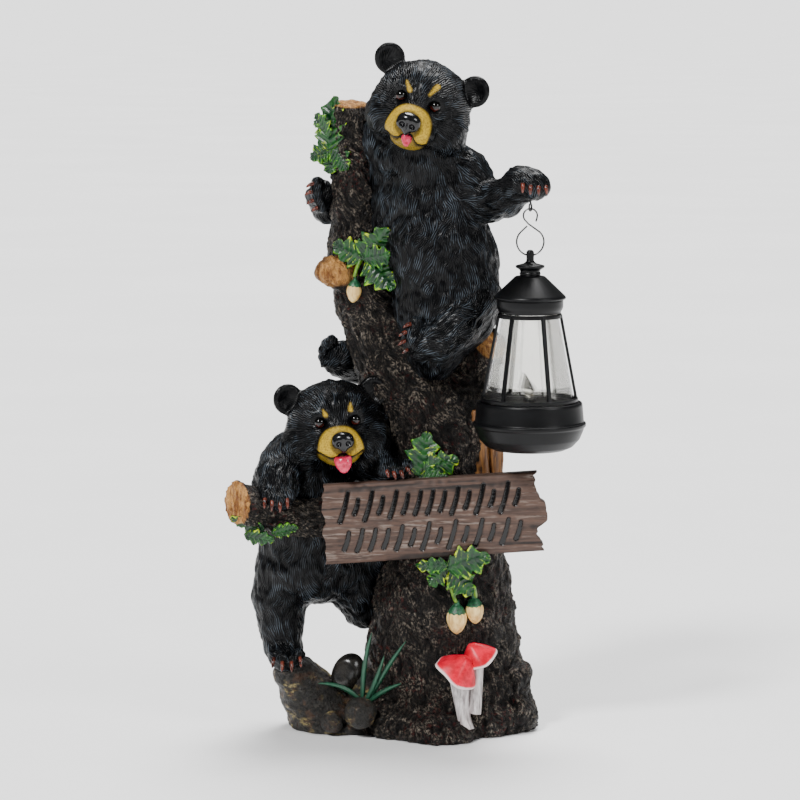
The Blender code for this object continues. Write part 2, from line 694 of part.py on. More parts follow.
def lantern_levels():
    """Heights of the lantern's joints. The window takes up what the drop to the board leaves."""
    bow = HOOK_LOOP_RADIUS - math.sqrt(HOOK_LOOP_RADIUS**2 - FINIAL_RADIUS**2)
    hole_radius = HOOK_WIRE_RADIUS + bow + FIT_GAP
    hole = hook_bottom().z + bow / 2
    levels = {"hole": hole, "hole_radius": hole_radius}
    levels["finial_top"] = hole + hole_radius + FINIAL_RADIUS * 0.9
    levels["post_foot"] = levels["finial_top"] - FINIAL_HEIGHT
    levels["roof_top"] = levels["post_foot"] - NECK_HEIGHT
    levels["eave"] = levels["roof_top"] - ROOF_HEIGHT
    levels["collar_foot"] = levels["eave"] - BAND_HEIGHT - COLLAR_HEIGHT
    levels["foot"] = board_top(PAW_UNDERSIDE[0]) * MM + LANTERN_CLEARANCE
    levels["base_top"] = levels["foot"] + BASE_HEIGHT
    return levels


def at_lantern(made):
    made.location = Vector((eye_top().x, eye_top().y, 0))
    return made


def lantern_roof(plastic):
    """Finial, flange, neck, roof, band and collar, moulded as one thin shell open below."""
    at = lantern_levels()
    eave, wall = at["eave"], LANTERN_WALL
    flange = at["post_foot"] - NECK_HEIGHT * 0.32
    outer = [
        (0, at["finial_top"]),
        (FINIAL_RADIUS * 0.75, at["finial_top"] - FINIAL_RADIUS * 0.35),
        (FINIAL_RADIUS * 1.08, at["finial_top"] - FINIAL_RADIUS),
        (FINIAL_RADIUS, at["post_foot"]),
        (FLANGE_RADIUS, flange + LANTERN_EDGE),
        (FLANGE_RADIUS, flange - LANTERN_EDGE),
        (NECK_RADIUS * 1.12, flange - 3 * LANTERN_EDGE),
        (NECK_RADIUS, at["roof_top"] + LANTERN_EDGE),
        (ROOF_TOP_RADIUS - LANTERN_EDGE, at["roof_top"]),
        (ROOF_TOP_RADIUS, at["roof_top"] - LANTERN_EDGE),
        (ROOF_RADIUS, eave + LANTERN_EDGE),
        (ROOF_RADIUS, eave - LANTERN_EDGE),
        (BAND_RADIUS, eave - 2 * LANTERN_EDGE),
        (BAND_RADIUS, eave - BAND_HEIGHT * 0.7),
        (COLLAR_RADIUS, eave - BAND_HEIGHT),
        (COLLAR_RADIUS, at["collar_foot"]),
    ]
    inner = [
        (COLLAR_RADIUS - wall, at["collar_foot"]),
        (COLLAR_RADIUS - wall, eave - wall),
        (ROOF_TOP_RADIUS - wall, at["roof_top"] - wall * 1.5),
        (0, at["roof_top"] - wall * 1.5),
    ]
    roof = at_lantern(turned(outer + inner, LANTERN_SIDES, "lantern_roof", plastic))
    bm = bmesh.new()
    bmesh.ops.create_cone(
        bm,
        cap_ends=True,
        segments=10,
        radius1=at["hole_radius"],
        radius2=at["hole_radius"],
        depth=FINIAL_RADIUS * 4,
        matrix=Matrix.Translation((eye_top().x, eye_top().y, at["hole"]))
        @ Matrix.Rotation(math.pi / 2, 4, "Y"),
    )
    boolean(roof, "wire_hole", "DIFFERENCE", helper(object_from(bm, "wire_hole_cutter")))
    return roof


def window_outer(z):
    """The window's outer radius at height z: a cone between the collar and the cage's foot ring."""
    at = lantern_levels()
    top, foot = at["collar_foot"], at["base_top"]
    share = (z - foot) / (top - foot)
    foot_radius = BASE_TOP_RADIUS - CAGE_SET_BACK - RIB_DEPTH - FIT_GAP
    return foot_radius + (WINDOW_TOP_RADIUS - foot_radius) * share


def lantern_window(clear):
    """The clear sleeve: a thin cone that stands on the deck inside the cage."""
    at = lantern_levels()
    top = at["collar_foot"] - FIT_GAP
    foot = at["base_top"] + FIT_GAP
    profile = [
        (window_outer(top), top),
        (window_outer(foot), foot),
        (window_outer(foot) - WINDOW_WALL, foot),
        (window_outer(top) - WINDOW_WALL, top),
    ]
    return at_lantern(turned(profile, LANTERN_SIDES, "lantern_window", clear))


def lantern_cage(plastic):
    """Six sloping ribs between a top ring under the collar's edge and a foot ring on the base."""
    at = lantern_levels()
    foot = at["base_top"] + FIT_GAP
    inner = window_outer(foot) + FIT_GAP
    foot_ring = [
        (inner + RIB_DEPTH, foot + CAGE_RING_HEIGHT),
        (inner + RIB_DEPTH, foot),
        (inner, foot),
        (inner, foot + CAGE_RING_HEIGHT),
    ]
    cage = at_lantern(turned(foot_ring, LANTERN_SIDES, "lantern_cage", plastic))
    head_z = at["collar_foot"] - FIT_GAP
    head_foot = head_z - CAGE_RING_HEIGHT
    head_inner = window_outer(head_foot) + FIT_GAP
    head_ring = [
        (head_inner + RIB_DEPTH, head_z),
        (head_inner + RIB_DEPTH, head_foot),
        (head_inner, head_foot),
        (head_inner, head_z),
    ]
    ribs = bpy.data.collections.new("cage_ribs")
    bpy.context.scene.collection.children.link(ribs)
    helper(at_lantern(turned(head_ring, LANTERN_SIDES, "cage_head_ring", None, ribs)))
    for k in range(RIB_COUNT):
        bm = bmesh.new()
        corners = []
        for z in (foot + RIB_SINK, head_z - RIB_SINK):
            near = window_outer(z) + FIT_GAP + RIB_SINK
            far = near + RIB_DEPTH
            for r, w in ((near, -1), (near, 1), (far, 1), (far, -1)):
                corners.append(bm.verts.new((r, w * RIB_WIDTH / 2, z)))
        for f in ((0, 1, 2, 3), (7, 6, 5, 4), (0, 4, 5, 1), (1, 5, 6, 2), (2, 6, 7, 3), (3, 7, 4, 0)):
            bm.faces.new([corners[i] for i in f])
        angle = -math.pi / 2 + RIB_TURN + 2 * math.pi * k / RIB_COUNT
        bm.transform(Matrix.Rotation(angle, 4, "Z"))
        helper(at_lantern(object_from(bm, f"rib_{k + 1}", collection=ribs)))
    for part in ribs.objects:
        boolean(cage, part.name, "UNION", part)
    return cage


def lantern_base(plastic):
    """The battery tub: a cup with a bead round its middle and a thin wall, closed by the deck."""
    at = lantern_levels()
    top, foot, wall = at["base_top"], at["foot"], LANTERN_WALL
    bead = foot + BASE_HEIGHT * 0.54
    ledge = top - DECK_THICKNESS - FIT_GAP
    profile = [
        (BASE_TOP_RADIUS - LANTERN_EDGE, top),
        (BASE_TOP_RADIUS, top - LANTERN_EDGE),
        (BASE_TOP_RADIUS + LANTERN_EDGE, bead + 2 * BEAD_HALF_HEIGHT),
        (BASE_TOP_RADIUS + BEAD_DEPTH, bead + BEAD_HALF_HEIGHT),
        (BASE_TOP_RADIUS + BEAD_DEPTH, bead - BEAD_HALF_HEIGHT),
        (BASE_TOP_RADIUS + 2 * LANTERN_EDGE, bead - 2 * BEAD_HALF_HEIGHT),
        (BASE_TOP_RADIUS - BASE_ROUNDING / 3, foot + BASE_HEIGHT * 0.25),
        (BASE_TOP_RADIUS - BASE_ROUNDING, foot + BASE_HEIGHT * 0.1),
        (BASE_FOOT_RADIUS, foot),
        (0, foot),
        (0, foot + wall),
        (BASE_FOOT_RADIUS, foot + wall),
        (BASE_TOP_RADIUS - BASE_ROUNDING - wall, foot + BASE_HEIGHT * 0.25),
        (BASE_TOP_RADIUS - 2 * wall, ledge - wall),
        (BASE_TOP_RADIUS - 2 * wall, ledge),
        (BASE_TOP_RADIUS - wall, ledge),
        (BASE_TOP_RADIUS - wall, top),
    ]
    return at_lantern(turned(profile, LANTERN_SIDES, "lantern_base", plastic))


def lantern_deck(plastic):
    """The disc that closes the tub, with the bulb's socket standing on it."""
    at = lantern_levels()
    top = at["base_top"]
    radius = BASE_TOP_RADIUS - LANTERN_WALL - FIT_GAP
    profile = [
        (0, top + SOCKET_HEIGHT),
        (SOCKET_RADIUS, top + SOCKET_HEIGHT),
        (SOCKET_RADIUS, top),
        (radius, top),
        (radius, top - DECK_THICKNESS),
        (0, top - DECK_THICKNESS),
    ]
    return at_lantern(turned(profile, LANTERN_SIDES, "lantern_deck", plastic))


def lantern_bulb(clear):
    """A flame-shaped bulb that leans a little to the left above the socket."""
    at = lantern_levels()
    foot = at["base_top"] + SOCKET_HEIGHT + FIT_GAP
    shares = ((0, 1), (0.28, 0.82), (0.68, 0.6), (0.98, 0.36), (0.92, 0.18), (0.6, 0.04), (0.55, 0), (0, 0))
    profile = [(r * BULB_RADIUS, foot + h * BULB_HEIGHT) for r, h in shares]
    bulb = turned(profile, 12, "lantern_bulb", clear)
    for corner in bulb.data.vertices:
        corner.co.x -= BULB_LEAN * (corner.co.z - foot)
    return at_lantern(bulb)


def main():
    clear_scene()
    resin = material("painted_resin", (0.03, 0.03, 0.032), 0.45)
    steel = material("black_wire", (0.03, 0.03, 0.03), 0.4, metallic=0.8)
    plastic = material("black_plastic", (0.025, 0.025, 0.027), 0.45)
    clear = material("clear_plastic", (0.9, 0.9, 0.88), 0.05, alpha=0.3)
    statue_casting(resin)
    screw_eye(steel)
    hanging_hook(steel)
    lantern_roof(plastic)
    lantern_cage(plastic)
    lantern_window(clear)
    lantern_base(plastic)
    lantern_deck(plastic)
    lantern_bulb(clear)


main()
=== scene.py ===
"""Bear garden statue: the looks of the painted resin casting and of the lantern that hangs from it.

The casting's forms are melted together from round shapes in millimetres of the statue's own frame, as a
modeller builds up clay, and are then given fur, bark and grain. The stage is a pale floor in soft light.
"""

import math

import bmesh
import bpy
import numpy as np
from mathutils import Euler, Matrix, Vector


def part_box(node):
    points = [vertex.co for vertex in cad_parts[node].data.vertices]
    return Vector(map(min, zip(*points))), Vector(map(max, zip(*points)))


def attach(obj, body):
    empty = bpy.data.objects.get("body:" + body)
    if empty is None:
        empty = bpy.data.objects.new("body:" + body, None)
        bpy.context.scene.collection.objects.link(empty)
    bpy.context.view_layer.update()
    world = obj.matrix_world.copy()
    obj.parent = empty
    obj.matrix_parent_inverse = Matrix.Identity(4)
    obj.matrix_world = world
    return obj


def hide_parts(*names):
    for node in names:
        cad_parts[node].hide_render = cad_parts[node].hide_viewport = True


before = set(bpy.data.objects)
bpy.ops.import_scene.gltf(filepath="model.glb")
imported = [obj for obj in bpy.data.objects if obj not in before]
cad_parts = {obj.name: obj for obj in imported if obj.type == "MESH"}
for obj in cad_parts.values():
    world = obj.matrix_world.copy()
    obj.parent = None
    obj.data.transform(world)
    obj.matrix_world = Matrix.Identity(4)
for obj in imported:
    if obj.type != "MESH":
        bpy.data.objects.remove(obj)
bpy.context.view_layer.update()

bl_info = {
    "name": "Bear Garden Statue",
    "version": (1, 0, 0),
    "blender": (4, 5, 0),
    "location": "3D View > Sidebar > Statue",
    "description": "Builds a painted resin garden statue of bear cubs on a stump around its fixed frame",
    "category": "Add Mesh",
}

MM = 0.001
ACRYLIC_IOR = 1.49
# All sizes of forms below are in millimetres
FINE_CELL = 0.45
STONE_CELL = 0.8
WOOD_CELL = 0.9
CLAW_RADIUS = 1.3
EYE_RADIUS = 3.5
# Turned shells end this far from their axis, in millimetres, so that no corner is doubled
AXIS_GAP = 0.02


# Properties


def colour_property(name, description, hex_value):
    return bpy.props.StringProperty(name=name, description=description, default=hex_value)


class StatueSizes(bpy.types.PropertyGroup):
    fur_grain: bpy.props.FloatProperty(
        name="Fur tuft", description="Width of a carved tuft of fur", default=2.0 * MM, unit="LENGTH"
    )
    fur_length: bpy.props.FloatProperty(
        name="Fur length", description="Length of a carved tuft of fur", default=7.0 * MM, unit="LENGTH"
    )
    fur_depth: bpy.props.FloatProperty(
        name="Fur depth", description="Depth of the grooves between tufts", default=1.0 * MM, unit="LENGTH"
    )
    bark_depth: bpy.props.FloatProperty(
        name="Bark depth", description="Depth of the bark's furrows", default=1.6 * MM, unit="LENGTH"
    )
    fur_cell: bpy.props.FloatProperty(
        name="Fur mesh", description="Mesh spacing on the cubs", default=1.0 * MM, unit="LENGTH"
    )
    bark_cell: bpy.props.FloatProperty(
        name="Bark mesh", description="Mesh spacing on the stump", default=1.05 * MM, unit="LENGTH"
    )
    lathe_sides: bpy.props.IntProperty(
        name="Lantern sides", description="Sides of the lantern's round parts", default=72
    )


class StatueColours(bpy.types.PropertyGroup):
    # Painted shade: the near black between the strands
    fur_hollow_shade: colour_property("Fur hollows", "Paint between the strands", "#010102")
    fur_body: colour_property("Fur", "Black paint of the coats", "#08090B")
    # Painted highlight in part: blue grey on the strand tips stands for the glints of the gloss, laid on as
    # dry brush
    fur_brush_and_highlight: colour_property("Fur tips", "Blue grey dry brush on the strands", "#4E5760")
    ochre: colour_property("Ochre", "Muzzles and brow marks", "#B8982E")
    # Painted shade: the near black in the furrows, cracks and low spots
    bark_hollow_shade: colour_property("Bark hollows", "Wash in the furrows", "#040303")
    bark_body: colour_property("Bark", "Brown black of the stump", "#1D1916")
    # Painted highlight in part: grey brown dry brush on the raised flakes, where light catches them
    bark_brush_and_highlight: colour_property("Bark ridges", "Grey brown dry brush", "#7E7468")
    bark_red: colour_property("Bark red", "Reddish stain in places", "#6A221C")
    cut_wood: colour_property("Cut wood", "Sawn faces", "#D69C58")
    board: colour_property("Board", "Taupe of the board", "#574136")
    leaf: colour_property("Leaf", "Deep green of the leaves", "#083A16")
    leaf_edge: colour_property("Leaf edge", "Lime dry brush on lobes and veins", "#70B410")
    toadstool: colour_property("Toadstool", "Red of the caps", "#C00222")
    acorn: colour_property("Acorn", "Cream of the nuts", "#FCDC94")
    stone: colour_property("Stone", "Charcoal of the stones", "#2A2722")
    plastic: colour_property("Lantern", "Satin black of the lantern", "#0A0B0D")


# Colour and nodes


def linear(hex_value, alpha=1.0):
    """An sRGB hex value as the linear colour that the shader wants."""
    parts = [int(hex_value[i : i + 2], 16) / 255 for i in (1, 3, 5)]
    return (*[c / 12.92 if c <= 0.04045 else ((c + 0.055) / 1.055) ** 2.4 for c in parts], alpha)


def add_node(tree, kind, values=None, links=None, **settings):
    """Adds a node with its settings, its input values by name or number, and links from other sockets."""
    made = tree.nodes.new(kind)
    for name, value in settings.items():
        setattr(made, name, value)
    for key, value in (values or {}).items():
        made.inputs[key].default_value = value
    for key, socket in (links or {}).items():
        tree.links.new(socket, made.inputs[key])
    return made


def new_material(name, roughness, specular=0.5):
    made = bpy.data.materials.new(name)
    made.use_nodes = True
    tree = made.node_tree
    shader = tree.nodes["Principled BSDF"]
    shader.inputs["Roughness"].default_value = roughness
    shader.inputs["Specular IOR Level"].default_value = specular
    return made, tree, shader


def blend_colours(tree, share, first, second):
    """Mixes two colours (sockets or linear values) by a share, a socket or a plain number."""
    values, links = ({0: share}, {}) if isinstance(share, float) else ({}, {0: share})
    for index, colour in ((6, first), (7, second)):
        (values if isinstance(colour, tuple) else links)[index] = colour
    return add_node(tree, "ShaderNodeMix", values, links, data_type="RGBA").outputs[2]


def attribute(tree, name):
    return add_node(tree, "ShaderNodeAttribute", attribute_name=name).outputs["Fac"]


def noise(tree, size, detail=3.0, roughness=0.6, stretch=(1, 1, 1)):
    """Noise whose grain is size metres wide, stretched along the object's axes."""
    coordinates = add_node(tree, "ShaderNodeTexCoord").outputs["Object"]
    scaled = add_node(
        tree, "ShaderNodeMapping", {"Scale": [1 / (size * s) for s in stretch]}, {"Vector": coordinates}
    )
    return add_node(
        tree,
        "ShaderNodeTexNoise",
        {"Scale": 1.0, "Detail": detail, "Roughness": roughness},
        {"Vector": scaled.outputs[0]},
    ).outputs["Fac"]


def strands(tree, direction, width, length):
    """Long narrow waves across a direction that the mesh carries, width metres apart, from 0 to 1."""
    coordinates = add_node(tree, "ShaderNodeTexCoord").outputs["Object"]
    across = add_node(tree, "ShaderNodeAttribute", attribute_name=direction).outputs["Vector"]
    waves = add_node(
        tree,
        "ShaderNodeTexGabor",
        {1: 1 / length, 2: length / width, 3: 1.0},
        {0: coordinates, 5: across},
        gabor_type="3D",
    )
    # The waves keep close to a half, so this stretches them over the whole range
    return ramp(tree, waves.outputs["Value"], 0.38, 0.62)


def from_to(tree, socket, low, high, first, last, interpolation="LINEAR"):
    """Maps a value's range from low to high onto one from first to last."""
    ends = {"From Min": low, "From Max": high, "To Min": first, "To Max": last}
    made = add_node(
        tree, "ShaderNodeMapRange", ends, {"Value": socket}, interpolation_type=interpolation
    )
    return made.outputs[0]


def ramp(tree, socket, low, high):
    """Stretches a value softly so that low becomes nought and high becomes one."""
    return from_to(tree, socket, low, high, 0.0, 1.0, "SMOOTHSTEP")


def times(tree, first, second):
    """Multiplies a socket by another, or by a plain number, within 0 to 1."""
    values, links = ({1: second}, {0: first}) if isinstance(second, float) else ({}, {0: first, 1: second})
    return add_node(tree, "ShaderNodeMath", values, links, operation="MULTIPLY", use_clamp=True).outputs[0]


def bump(tree, shader, height, depth, strength=1.0):
    made = add_node(tree, "ShaderNodeBump", {"Distance": depth, "Strength": strength}, {"Height": height})
    tree.links.new(made.outputs[0], shader.inputs["Normal"])


# Materials


def fur_paint(colours):
    """Black gloss enamel over cast resin fur: painted shade near black in the hollows between the strands,
    blue grey on the strand tips as dry brush and as painted highlight of their glints, and matt ochre muzzles
    with hand-painted mouth lines."""
    made, tree, shader = new_material("gloss_enamel_on_cast_resin", 0.3, 0.17)
    # Real carved strands are about 0.8 mm wide; 1.4 mm is as fine as shows as a stroke at this size
    hairs = strands(tree, "across", 1.4 * MM, 5.0 * MM)
    ridge = attribute(tree, "ridge")
    ochre = attribute(tree, "ochre")
    furry = from_to(tree, attribute(tree, "bare"), 0.0, 1.0, 1.0, 0.2)
    # Painted highlight in part: blue grey dry brush on the raised strand tips, in uneven patches, standing in
    # for the glints of the gloss
    worn = from_to(tree, noise(tree, 15 * MM, 3.0), 0.35, 0.65, 0.1, 0.9)
    brushed = times(tree, ramp(tree, hairs, 0.66, 0.98), ramp(tree, ridge, 0.3, 0.95))
    brushed = times(tree, times(tree, brushed, worn), furry)
    # Painted shade: near black in the low parts between the strands
    hollow_shade, body = linear(colours.fur_hollow_shade), linear(colours.fur_body)
    coat = blend_colours(tree, ramp(tree, hairs, 0.15, 0.6), hollow_shade, body)
    coat = blend_colours(tree, brushed, coat, linear(colours.fur_brush_and_highlight))
    # Dabs of a nearly dry brush, about 1 mm across
    stipple = ramp(tree, noise(tree, 1.1 * MM, 2.0), 0.3, 0.62)
    patchy = blend_colours(tree, stipple, linear("#8C7020"), linear(colours.ochre))
    coat = blend_colours(tree, ochre, coat, patchy)
    coat = blend_colours(tree, attribute(tree, "ink"), coat, linear("#050404"))
    tree.links.new(coat, shader.inputs["Base Color"])
    tree.links.new(from_to(tree, ochre, 0.0, 1.0, 0.28, 0.5), shader.inputs["Roughness"])
    bump(tree, shader, times(tree, hairs, furry), 0.5 * MM, 1.0)
    return made


def bark_paint(colours):
    """Satin acrylic on cast bark: brown black, with painted shade near black in the cracks and low spots,
    grey brown dry brush on the raised flakes that also serves as painted highlight, a few reddish stains, and
    golden tan where a branch was sawn or broken."""
    made, tree, shader = new_material("satin_acrylic_on_cast_bark", 0.4, 0.25)
    ridge = attribute(tree, "ridge")
    # Real flakes and cracks are 0.5 to 1 mm wide; these are drawn about twice as coarse, to show
    fibres = strands(tree, "across", 1.7 * MM, 3.6 * MM)
    pits = ramp(tree, noise(tree, 1.8 * MM, 4.0, 0.75), 0.38, 0.62)
    crust = blend_colours(tree, 0.72, fibres, pits)
    hollow_shade = linear(colours.bark_hollow_shade)
    # Painted shade: near black in the pits and cracks of the crust and in the low spots of the bark
    coat = blend_colours(tree, ramp(tree, crust, 0.15, 0.6), hollow_shade, linear(colours.bark_body))
    coat = blend_colours(tree, ramp(tree, ridge, 0.3, 0.05), coat, hollow_shade)
    specks = ramp(tree, noise(tree, 2.6 * MM, 3.0), 0.55, 0.66)
    stain = times(tree, specks, ramp(tree, noise(tree, 24 * MM, 2.0), 0.42, 0.62))
    coat = blend_colours(tree, times(tree, stain, 0.35), coat, linear(colours.bark_red))
    # Painted highlight in part: grey brown dry brush on the raised flakes, in uneven patches, where light
    # catches them
    worn = ramp(tree, noise(tree, 11 * MM, 3.0), 0.3, 0.7)
    flakes = times(tree, ramp(tree, crust, 0.52, 0.86), ramp(tree, ridge, 0.2, 0.65))
    coat = blend_colours(tree, times(tree, flakes, worn), coat, linear(colours.bark_brush_and_highlight))
    grain = noise(tree, 3 * MM, 4.0, 0.7, (1, 1, 3))
    sawn = blend_colours(tree, ramp(tree, grain, 0.35, 0.62), linear("#7A4820"), linear(colours.cut_wood))
    coat = blend_colours(tree, attribute(tree, "sawn"), coat, sawn)
    tree.links.new(coat, shader.inputs["Base Color"])
    bump(tree, shader, crust, 0.9 * MM, 1.0)
    return made


def stone_paint(colours):
    """Dry-brushed rough stone: charcoal, with ochre dry brush in streaks on a few high spots that also stands
    as painted highlight, and rust in patches.
    """
    made, tree, shader = new_material("dry_brushed_cast_stone", 0.42, 0.45)
    # Real grit is under 1 mm; at 2.2 mm it just shows at this size
    grit = ramp(tree, noise(tree, 2.2 * MM, 4.0, 0.7), 0.36, 0.64)
    ridge = attribute(tree, "ridge")
    coat = blend_colours(tree, grit, linear("#0A0908"), linear(colours.stone))
    rust = ramp(tree, noise(tree, 8 * MM, 3.0), 0.5, 0.66)
    coat = blend_colours(tree, times(tree, rust, 0.4), coat, linear("#5A3A24"))
    # Ochre dry brush in streaks on the high spots, which also stands as painted highlight
    streaks = ramp(tree, noise(tree, 2.2 * MM, 5.0, 0.75, (2.5, 2.5, 1)), 0.48, 0.6)
    patches = ramp(tree, noise(tree, 16 * MM, 2.0), 0.46, 0.6)
    lit = times(tree, times(tree, streaks, ramp(tree, ridge, 0.3, 0.7)), patches)
    coat = blend_colours(tree, times(tree, lit, 0.9), coat, linear("#A89660"))
    tree.links.new(coat, shader.inputs["Base Color"])
    bump(tree, shader, grit, 0.6 * MM, 1.0)
    return made


def board_paint(colours):
    """Weathered plank paint: taupe, dark in the grain, pale dry brush along it, black gloss strokes."""
    made, tree, shader = new_material("dry_brushed_cast_plank", 0.6, 0.4)
    ridge = attribute(tree, "ridge")
    # Grain lines 2 mm apart and about 28 mm long, as on a flat-sawn plank
    streak = noise(tree, 2.0 * MM, 4.0, 0.65, (14, 1, 1))
    coat = blend_colours(tree, ramp(tree, streak, 0.25, 0.7), linear("#33251F"), linear(colours.board))
    coat = blend_colours(tree, ramp(tree, ridge, 0.4, 0.1), coat, linear("#1E1511"))
    scratches = ramp(tree, noise(tree, 1.4 * MM, 3.0, 0.6, (9, 1, 1)), 0.48, 0.62)
    pale = times(tree, ramp(tree, ridge, 0.45, 0.8), scratches)
    coat = blend_colours(tree, times(tree, pale, 0.45), coat, linear("#9C8E84"))
    ink = attribute(tree, "ink")
    coat = blend_colours(tree, ink, coat, linear("#0B0B0C"))
    tree.links.new(coat, shader.inputs["Base Color"])
    tree.links.new(from_to(tree, ink, 0.0, 1.0, 0.55, 0.14), shader.inputs["Roughness"])
    bump(tree, shader, streak, 0.4 * MM, 0.6)
    return made


def split_wood_paint():
    """Stained split wood: orange brown with dark streaks down the grain."""
    made, tree, shader = new_material("stained_split_wood", 0.5, 0.45)
    # Torn grain about 2 mm apart and 26 mm long
    streak = noise(tree, 2.2 * MM, 4.0, 0.65, (1, 1, 12))
    coat = blend_colours(tree, ramp(tree, streak, 0.3, 0.7), linear("#4A2A14"), linear("#9A6A38"))
    coat = blend_colours(tree, ramp(tree, attribute(tree, "ridge"), 0.3, 0.0), coat, linear("#26160C"))
    tree.links.new(coat, shader.inputs["Base Color"])
    bump(tree, shader, streak, 0.5 * MM, 0.7)
    return made


def leaf_paint(colours):
    """Gloss acrylic leaf: deep green, mid green between the veins, lime and yellow brushed on in patches."""
    made, tree, shader = new_material("gloss_acrylic_leaf", 0.28, 0.5)
    edge = attribute(tree, "edge")
    blotch = noise(tree, 6 * MM, 3.0)
    coat = blend_colours(tree, ramp(tree, edge, 0.0, 0.75), linear("#062A14"), linear(colours.leaf))
    coat = blend_colours(tree, times(tree, ramp(tree, blotch, 0.4, 0.62), 0.5), coat, linear("#176012"))
    brushed = ramp(tree, noise(tree, 4.5 * MM, 4.0), 0.45, 0.6)
    lime = times(tree, ramp(tree, edge, 0.5, 0.9), brushed)
    coat = blend_colours(tree, times(tree, lime, 0.9), coat, linear(colours.leaf_edge))
    dab = times(tree, ramp(tree, noise(tree, 9 * MM, 3.0), 0.54, 0.64), ramp(tree, edge, 0.4, 0.9))
    coat = blend_colours(tree, times(tree, dab, 0.9), coat, linear("#C8D80C"))
    tree.links.new(coat, shader.inputs["Base Color"])
    bump(tree, shader, noise(tree, 1.2 * MM, 3.0), 0.3 * MM, 0.7)
    return made


def grass_paint():
    """Gloss blue green blade: dark and lighter streaks along it, pale on the keel."""
    made, tree, shader = new_material("gloss_acrylic_grass", 0.34, 0.5)
    streak = noise(tree, 1.5 * MM, 3.0, 0.6, (1, 1, 8))
    coat = blend_colours(tree, ramp(tree, streak, 0.3, 0.7), linear("#0A2A1D"), linear("#174A33"))
    coat = blend_colours(tree, times(tree, attribute(tree, "edge"), 0.4), coat, linear("#4C8468"))
    tree.links.new(coat, shader.inputs["Base Color"])
    bump(tree, shader, streak, 0.2 * MM, 0.5)
    return made


def two_tone(
    name, dark, light, grain, roughness, depth, stretch=(1, 1, 1), edge=None, specular=0.5
):
    """A painted finish of two tones in soft patches, with the edge's colour where edge is marked."""
    made, tree, shader = new_material(name, roughness, specular)
    patch = noise(tree, grain, 4.0, 0.6, stretch)
    coat = blend_colours(tree, ramp(tree, patch, 0.3, 0.7), linear(dark), linear(light))
    if edge:
        coat = blend_colours(tree, attribute(tree, "edge"), coat, linear(edge))
    tree.links.new(coat, shader.inputs["Base Color"])
    bump(tree, shader, patch, depth, 0.6)
    return made


def clear_plastic(name, tint, roughness, alpha, wave, depth, strength):
    """Clear moulded acrylic: nearly all light passes, with a hard shine and a faint warm tint."""
    made, tree, shader = new_material(name, roughness)
    shader.inputs["Base Color"].default_value = linear(tint)
    shader.inputs["Transmission Weight"].default_value = 1.0
    shader.inputs["IOR"].default_value = ACRYLIC_IOR
    shader.inputs["Alpha"].default_value = alpha
    bump(tree, shader, noise(tree, wave, 2.0), depth, strength)
    return made


# Forms


class Form:
    """One lump of clay: its distance in millimetres, its reach in space and the way its fur lies."""

    def __init__(self, distance, low, high, flow=None, melt=4.0, cut=False):
        self.distance = distance
        self.low = np.array(low, float)
        self.high = np.array(high, float)
        self.flow = None if flow is None else np.array(flow, float) / np.linalg.norm(flow)
        self.melt = melt
        self.cut = cut


def rotation(turn):
    return np.array(Euler([math.radians(a) for a in turn]).to_matrix())


class Head:
    """Places forms in a head's own axes: it looks along its own -Y, with +Z to its crown."""

    def __init__(self, centre, tilt, yaw, pitch):
        turn = (
            Matrix.Rotation(math.radians(tilt), 3, "Y")
            @ Matrix.Rotation(math.radians(yaw), 3, "Z")
            @ Matrix.Rotation(math.radians(pitch), 3, "X")
        )
        self.centre = np.array(centre, float)
        self.turn = np.array(turn)

    def place(self, point):
        return self.centre + self.turn @ np.array(point, float)

    def local(self, points):
        return (points - self.centre) @ self.turn


def lump(centre, radii, turn=(0, 0, 0), flow=None, melt=5.0, cut=False, head=None):
    """An ellipsoid, in the statue's axes or in a head's."""
    if isinstance(radii, (int, float)):
        radii = (radii,) * 3
    axes = rotation(turn)
    centre = np.array(centre, float)
    if head:
        axes = head.turn @ axes
        centre = head.place(centre)
        flow = None if flow is None else head.turn @ np.array(flow, float)
    radii = np.array(radii, float)

    def distance(points):
        local = (points - centre) @ axes
        near = np.sqrt(((local / radii) ** 2).sum(-1)) + 1e-9
        steep = np.sqrt(((local / radii**2) ** 2).sum(-1)) + 1e-9
        return near * (near - 1) / steep

    reach = np.sqrt(((axes * radii) ** 2).sum(1))
    return Form(distance, centre - reach, centre + reach, flow, melt, cut)


def limb(*stations, flat=1.0, flow=True, melt=5.0, head=None):
    """Tapering round limbs through (x, y, z, radius). Fur lies from the first station to the last."""
    forms = []
    for first, last in zip(stations, stations[1:]):
        a, b = np.array(first[:3], float), np.array(last[:3], float)
        if head:
            a, b = head.place(a), head.place(b)
        forms.append(cone(a, first[3], b, last[3], flat, b - a if flow else None, melt))
    return forms


def cone(a, radius_a, b, radius_b, flat, flow, melt):
    squash = np.array([1, 1 / flat, 1])
    start, along = a * squash, (b - a) * squash
    length2 = along @ along

    def distance(points):
        away = points * squash - start
        share = np.clip(away @ along / length2, 0, 1)
        gap = away - share[..., None] * along
        return (np.sqrt((gap**2).sum(-1)) - (radius_a + (radius_b - radius_a) * share)) * min(flat, 1)

    reach = np.array([radius_a, radius_a * flat, radius_a]), np.array([radius_b, radius_b * flat, radius_b])
    low = np.minimum(a - reach[0], b - reach[1])
    high = np.maximum(a + reach[0], b + reach[1])
    return Form(distance, low, high, flow, melt)


